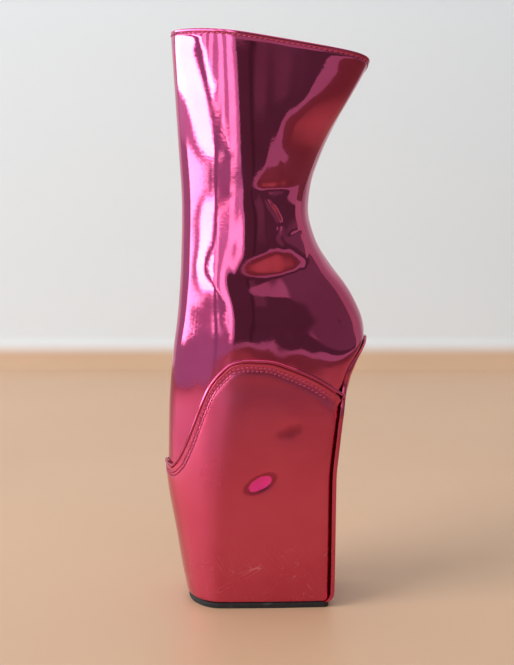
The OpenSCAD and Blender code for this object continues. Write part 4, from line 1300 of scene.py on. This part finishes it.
dress(zip_metal, finish("zip_nickel", metal, NICKEL, DULL_NICKEL, 0.16, (1, 1, 1)))
dress([shank], finish("shank_steel", metal, STEEL, DULL_STEEL, 0.3, (1, 1, 0.05)))
dress(teeth, finish("teeth_pink", metal, TOOTH_PINK, DULL_TOOTH, 0.2, (1, 1, 1)))

# %% [markdown]
# ## Studio, lights and camera
#
# Foil shows its surroundings more than itself, so the studio matters. The floor is warm, with painted shade
# outside the view, and it bends up into a pale grey wall. A picture could be mirrored, but a painted card
# needs no file. It bends round the boot from the left, behind the camera, to the right. It glows, and only
# reflections
# see it: a painted reflection. A bright panel with bars and slats across it gives the white bands, and a
# dim drape gives the deep wine tones. The camera stands where the photo's lens did.

# %% Floor and wall
WALL_Y, WALL_TOP, COVE_R, HALF_ROOM, FLOOR_FROM = 1.22, 3.2, 0.06, 4.0, -2.3
VIEW_HALF, VIEW_SLOPE = 0.25, 0.23
# Painted shade: the dark warm colour that the floor takes outside the view.
WARM, WARM_LIGHT, FLOOR_PAINTED_SHADE = (0.58, 0.37, 0.23, 1), (0.62, 0.40, 0.25, 1), (0.12, 0.06, 0.04, 1)
GREY_PAINT = (0.82, 0.90, 0.96, 1)


def sweep_points():
    """A line along the floor, a quarter circle and a line up the wall, carried across the room."""
    bend = np.linspace(0, np.pi / 2, 25)
    floor_y = np.linspace(FLOOR_FROM, WALL_Y - COVE_R, 12)[:-1]
    y = np.concatenate([floor_y, WALL_Y - COVE_R + COVE_R * np.sin(bend), [WALL_Y]])
    z = np.concatenate([np.zeros_like(floor_y), COVE_R * (1 - np.cos(bend)), [WALL_TOP]])
    x = np.linspace(-HALF_ROOM, HALF_ROOM, 9)
    return np.stack(np.broadcast_arrays(x[:, None], y, z), -1)


def room_sockets(net, place):
    """A warm floor with painted shade outside the view in front and at the sides, and pale grey paint
    above.
    """
    x, y, height = net.axes(place)
    soft = net.noise(place, 3.0, 3.0)
    # Painted shade: the floor is darkened outside the view in front, to the right and, less, to the left.
    front = (0.8 * x - y).between(1.05, 1.5)
    right = (x - VIEW_SLOPE * y - VIEW_HALF).between(0.0, 0.7)
    left = 0.6 * (0 - x - VIEW_SLOPE * y - VIEW_HALF).between(0.0, 0.6)
    away = x.math("MAXIMUM", x.math("MAXIMUM", front, right), left)
    warm = (0.75 * away).blend(soft.between(0.2, 0.8).blend(WARM, WARM_LIGHT), FLOOR_PAINTED_SHADE)
    paint = height.between(0.02, 0.05)
    return {"Base Color": paint.blend(warm, GREY_PAINT), "Roughness": 0.4 + 0.1 * soft + 0.3 * paint}


def stage_piece(name, points, sockets_of):
    """A sheet of the studio from a grid of points in metres, which is no part of the boot."""
    mesh = bpy.data.meshes.new(name)
    mesh.from_pydata(points.reshape(-1, 3).tolist(), [], cells(*points.shape[:2])[:, ::-1].tolist())
    mesh.shade_smooth()
    made = bpy.data.objects.new(name, mesh)
    bpy.context.scene.collection.objects.link(made)
    dress([made], finish(name + "_paint", sockets_of))
    return made


stage_piece("studio_sweep", sweep_points(), room_sockets)


# %% The glowing card that the foil mirrors, a painted reflection
CARD_R, CARD_TOP, CARD_FROM, CARD_TO, DRAPE_FROM = 2.2, 2.2, np.radians(-40), np.radians(175), 68.0
GLARE, LOW_PANEL, RAIL = (9, 9.5, 10, 1), (4.6, 5.4, 5.8, 1), (0.85, 0.9, 1.2, 1)
SLAT, SLAT_GAP, BAR = (2.6, 2.8, 3.1, 1), (0.9, 0.95, 1.25, 1), (0.40, 0.43, 0.60, 1)
PLAIN, PALE, SHADE = (0.52, 0.53, 0.70, 1), (0.47, 0.45, 0.50, 1), (0.2, 0.2, 0.22, 1)
DRAPE, DRAPE_DIP, DRAPE_RIDGE = (0.105, 0.105, 0.11, 1), (0.07, 0.07, 0.07, 1), (0.18, 0.18, 0.19, 1)
RAIL_Z, RAIL_SLOPE, RAIL_LEVEL = 0.37, 0.0037, 45
BAR_ANGLE, BAR_Z, BAR_SLOPE, BAR_LOW, BAR_TWO = 44.5, 0.34, 101, (0.15, 0.165), ((51, 52), (55, 56))
SLAT_RATE, SLAT_SHIFT, SLAT_TOP, SILL_Z, SILL_STEP = 0.75, 3, (0.33, 0.37), 0.22, (61.5, 62.5)
LOW_PANEL_Z, LOW_PANEL_LEFT, CARD_LEFT = (0.174, 0.19), (-13, -11), (-29, -27)
DIP_AT, RIDGE_AT, RIDGE_Z = ((81, 82), (84, 85)), ((85, 86), (90, 96)), (0.25, 0.32)


def panel_glow(net, place, angle, z):
    """A bright panel over a slanting rail, a softer one under it, slats past a slanting bar, plain card."""
    ragged = net.noise(place, 5.0, 2.0) - 0.5
    over_rail = z - RAIL_Z + RAIL_SLOPE * angle.math("MINIMUM", angle, RAIL_LEVEL) + 0.03 * ragged
    rail_height = 0.085 - 0.0013 * angle
    low_panel = (z + 0.06 * ragged).between(*LOW_PANEL_Z) * angle.between(*LOW_PANEL_LEFT)
    glow = (over_rail + rail_height).between(-0.01, 0.01).blend(low_panel.blend(PLAIN, LOW_PANEL), RAIL)
    glow = over_rail.between(-0.005, 0.005).blend(glow, GLARE)
    past_bar = angle - BAR_ANGLE + BAR_SLOPE * (z - BAR_Z) + 3 * ragged
    half_bar = 0.5 + 11 * z
    under_bar = 1 - z.between(*BAR_LOW)
    slats = angle.math("SINE", SLAT_RATE * (angle - SLAT_SHIFT)).between(-0.4, 0.4).blend(SLAT_GAP, SLAT)
    over_sill = z - SILL_Z + 0.1 * angle.between(*SILL_STEP)
    slats = over_sill.between(-0.01, 0.01).blend(PLAIN, slats)
    in_slats = past_bar - half_bar - 5.5 * z.between(*SLAT_TOP) + 12 * under_bar
    glow = in_slats.between(0, 1.5).blend(glow, slats)
    bar = (half_bar + past_bar).between(-0.5, 0.5) * (half_bar - past_bar).between(-0.5, 0.5)
    second_bar = angle.band(*BAR_TWO) * (1 - z.between(0.27, 0.3))
    bars = bar * (1 - under_bar) + second_bar
    return angle.between(*CARD_LEFT).blend(PLAIN, bars.blend(glow, BAR))


def drape_glow(angle, z):
    """A dim drape with a few folds, a pale foot below it, and pale or shaded card above it."""
    dip = angle.band(*DIP_AT)
    ridge = angle.band(*RIDGE_AT) * z.between(*RIDGE_Z)
    drape = ridge.blend(dip.blend(DRAPE, DRAPE_DIP), DRAPE_RIDGE)
    foot_z = 0.07 + 0.19 * angle.between(92, 106)
    drape = (z - foot_z).between(-0.01, 0.01).blend(PALE, drape)
    right = angle.between(101, 112)
    over_top = z - 0.54 - 0.12 * angle.between(84, 98)
    drape = (over_top.between(-0.02, 0.06) * (1 - right)).blend(drape, PALE)
    return (z.between(0.5, 0.65) * right).blend(drape, SHADE)


def card_sockets(net, place):
    """The painted reflection that the card glows with, by the angle from the left in degrees and the height
    in metres.
    """
    x, y, z = net.axes(place)
    angle = float(np.degrees(1)) * x.math("ARCTAN2", 0 - y, 0 - x)
    at_drape = angle.between(DRAPE_FROM - 0.5, DRAPE_FROM + 0.5)
    glow = at_drape.blend(panel_glow(net, place, angle, z), drape_glow(angle, z))
    # The card glows though it is no lamp: its emission is a painted reflection for the foil.
    return {"Base Color": (0, 0, 0, 1), "Roughness": 1.0, "Emission Strength": 1.0, "Emission Color": glow}


card_turn = np.linspace(CARD_FROM, CARD_TO, 90)[:, None]
card_xyz = (-CARD_R * np.cos(card_turn), -CARD_R * np.sin(card_turn), np.array([0, CARD_TOP]))
card_points = np.stack(np.broadcast_arrays(*card_xyz), -1)
card = stage_piece("studio_card", card_points, card_sockets)
card.visible_camera = False
card.visible_diffuse = False
card.visible_shadow = False


# %% Lamps
def lamp(name, place, aim, size, radiance, shine):
    """A square of light: its power is four times its radiance times its area. Shine shows it in gloss."""
    light = bpy.data.lights.new(name, "AREA")
    light.shape = "RECTANGLE"
    light.size, light.size_y = size, size
    light.energy = 4 * radiance * size**2
    made = bpy.data.objects.new(name, light)
    bpy.context.scene.collection.objects.link(made)
    made.location = place
    side = np.array(aim, float) - np.array(place, float)
    lean = np.pi / 2 - np.arctan2(-side[2], np.hypot(*side[:2]))
    made.rotation_euler = (lean, 0, np.arctan2(-side[0], side[1]))
    made.visible_camera = False
    made.visible_glossy = shine
    print("lamp:", name, round(light.energy), "W")


lamp("key_soft", (-3.2, -1.7, 2.9), (0, 0, 0.2), 2.4, 5.9, False)
lamp("ceiling_soft", (0.2, 0.0, 2.6), (0.2, 0.0, 0), 2.0, 0.8, True)

# %% Room light
ROOM_TONE, ROOM_DIM, ROOM_COLOUR = 0.55, 0.1, (1, 0.98, 0.96, 1)
world = bpy.data.worlds.new("studio_room")
bpy.context.scene.world = world
world.use_nodes = True
world.node_tree.nodes.clear()
sky = Wire(world.node_tree)
upward = sky.add("SeparateXYZ", {}, {"Vector": sky.add("TexCoord", out=0)}, out=2)
strength = ROOM_TONE - ROOM_DIM * upward.between(0.0, 0.8)
room = sky.add("Background", {}, {"Color": ROOM_COLOUR, "Strength": strength})
sky.add("OutputWorld", {}, {"Surface": room})
print("room light:", len(world.node_tree.nodes), "nodes")

# %% Camera
PHOTO_H, FOCAL_PX, SENSOR = 665, 1124.0, 36.0
EYE_PLACE, EYE_PITCH = (-0.007, -0.865, 0.310), 83.28
camera = bpy.data.cameras.new("camera")
camera.sensor_fit = "VERTICAL"
camera.sensor_height = SENSOR
camera.lens = FOCAL_PX / PHOTO_H * SENSOR
eye = bpy.data.objects.new("camera", camera)
bpy.context.scene.collection.objects.link(eye)
eye.location = EYE_PLACE
eye.rotation_euler = (np.radians(EYE_PITCH), 0, 0)
bpy.context.scene.camera = eye
bpy.context.scene.view_settings.view_transform = "Standard"
print("lens:", round(camera.lens, 2), "mm")
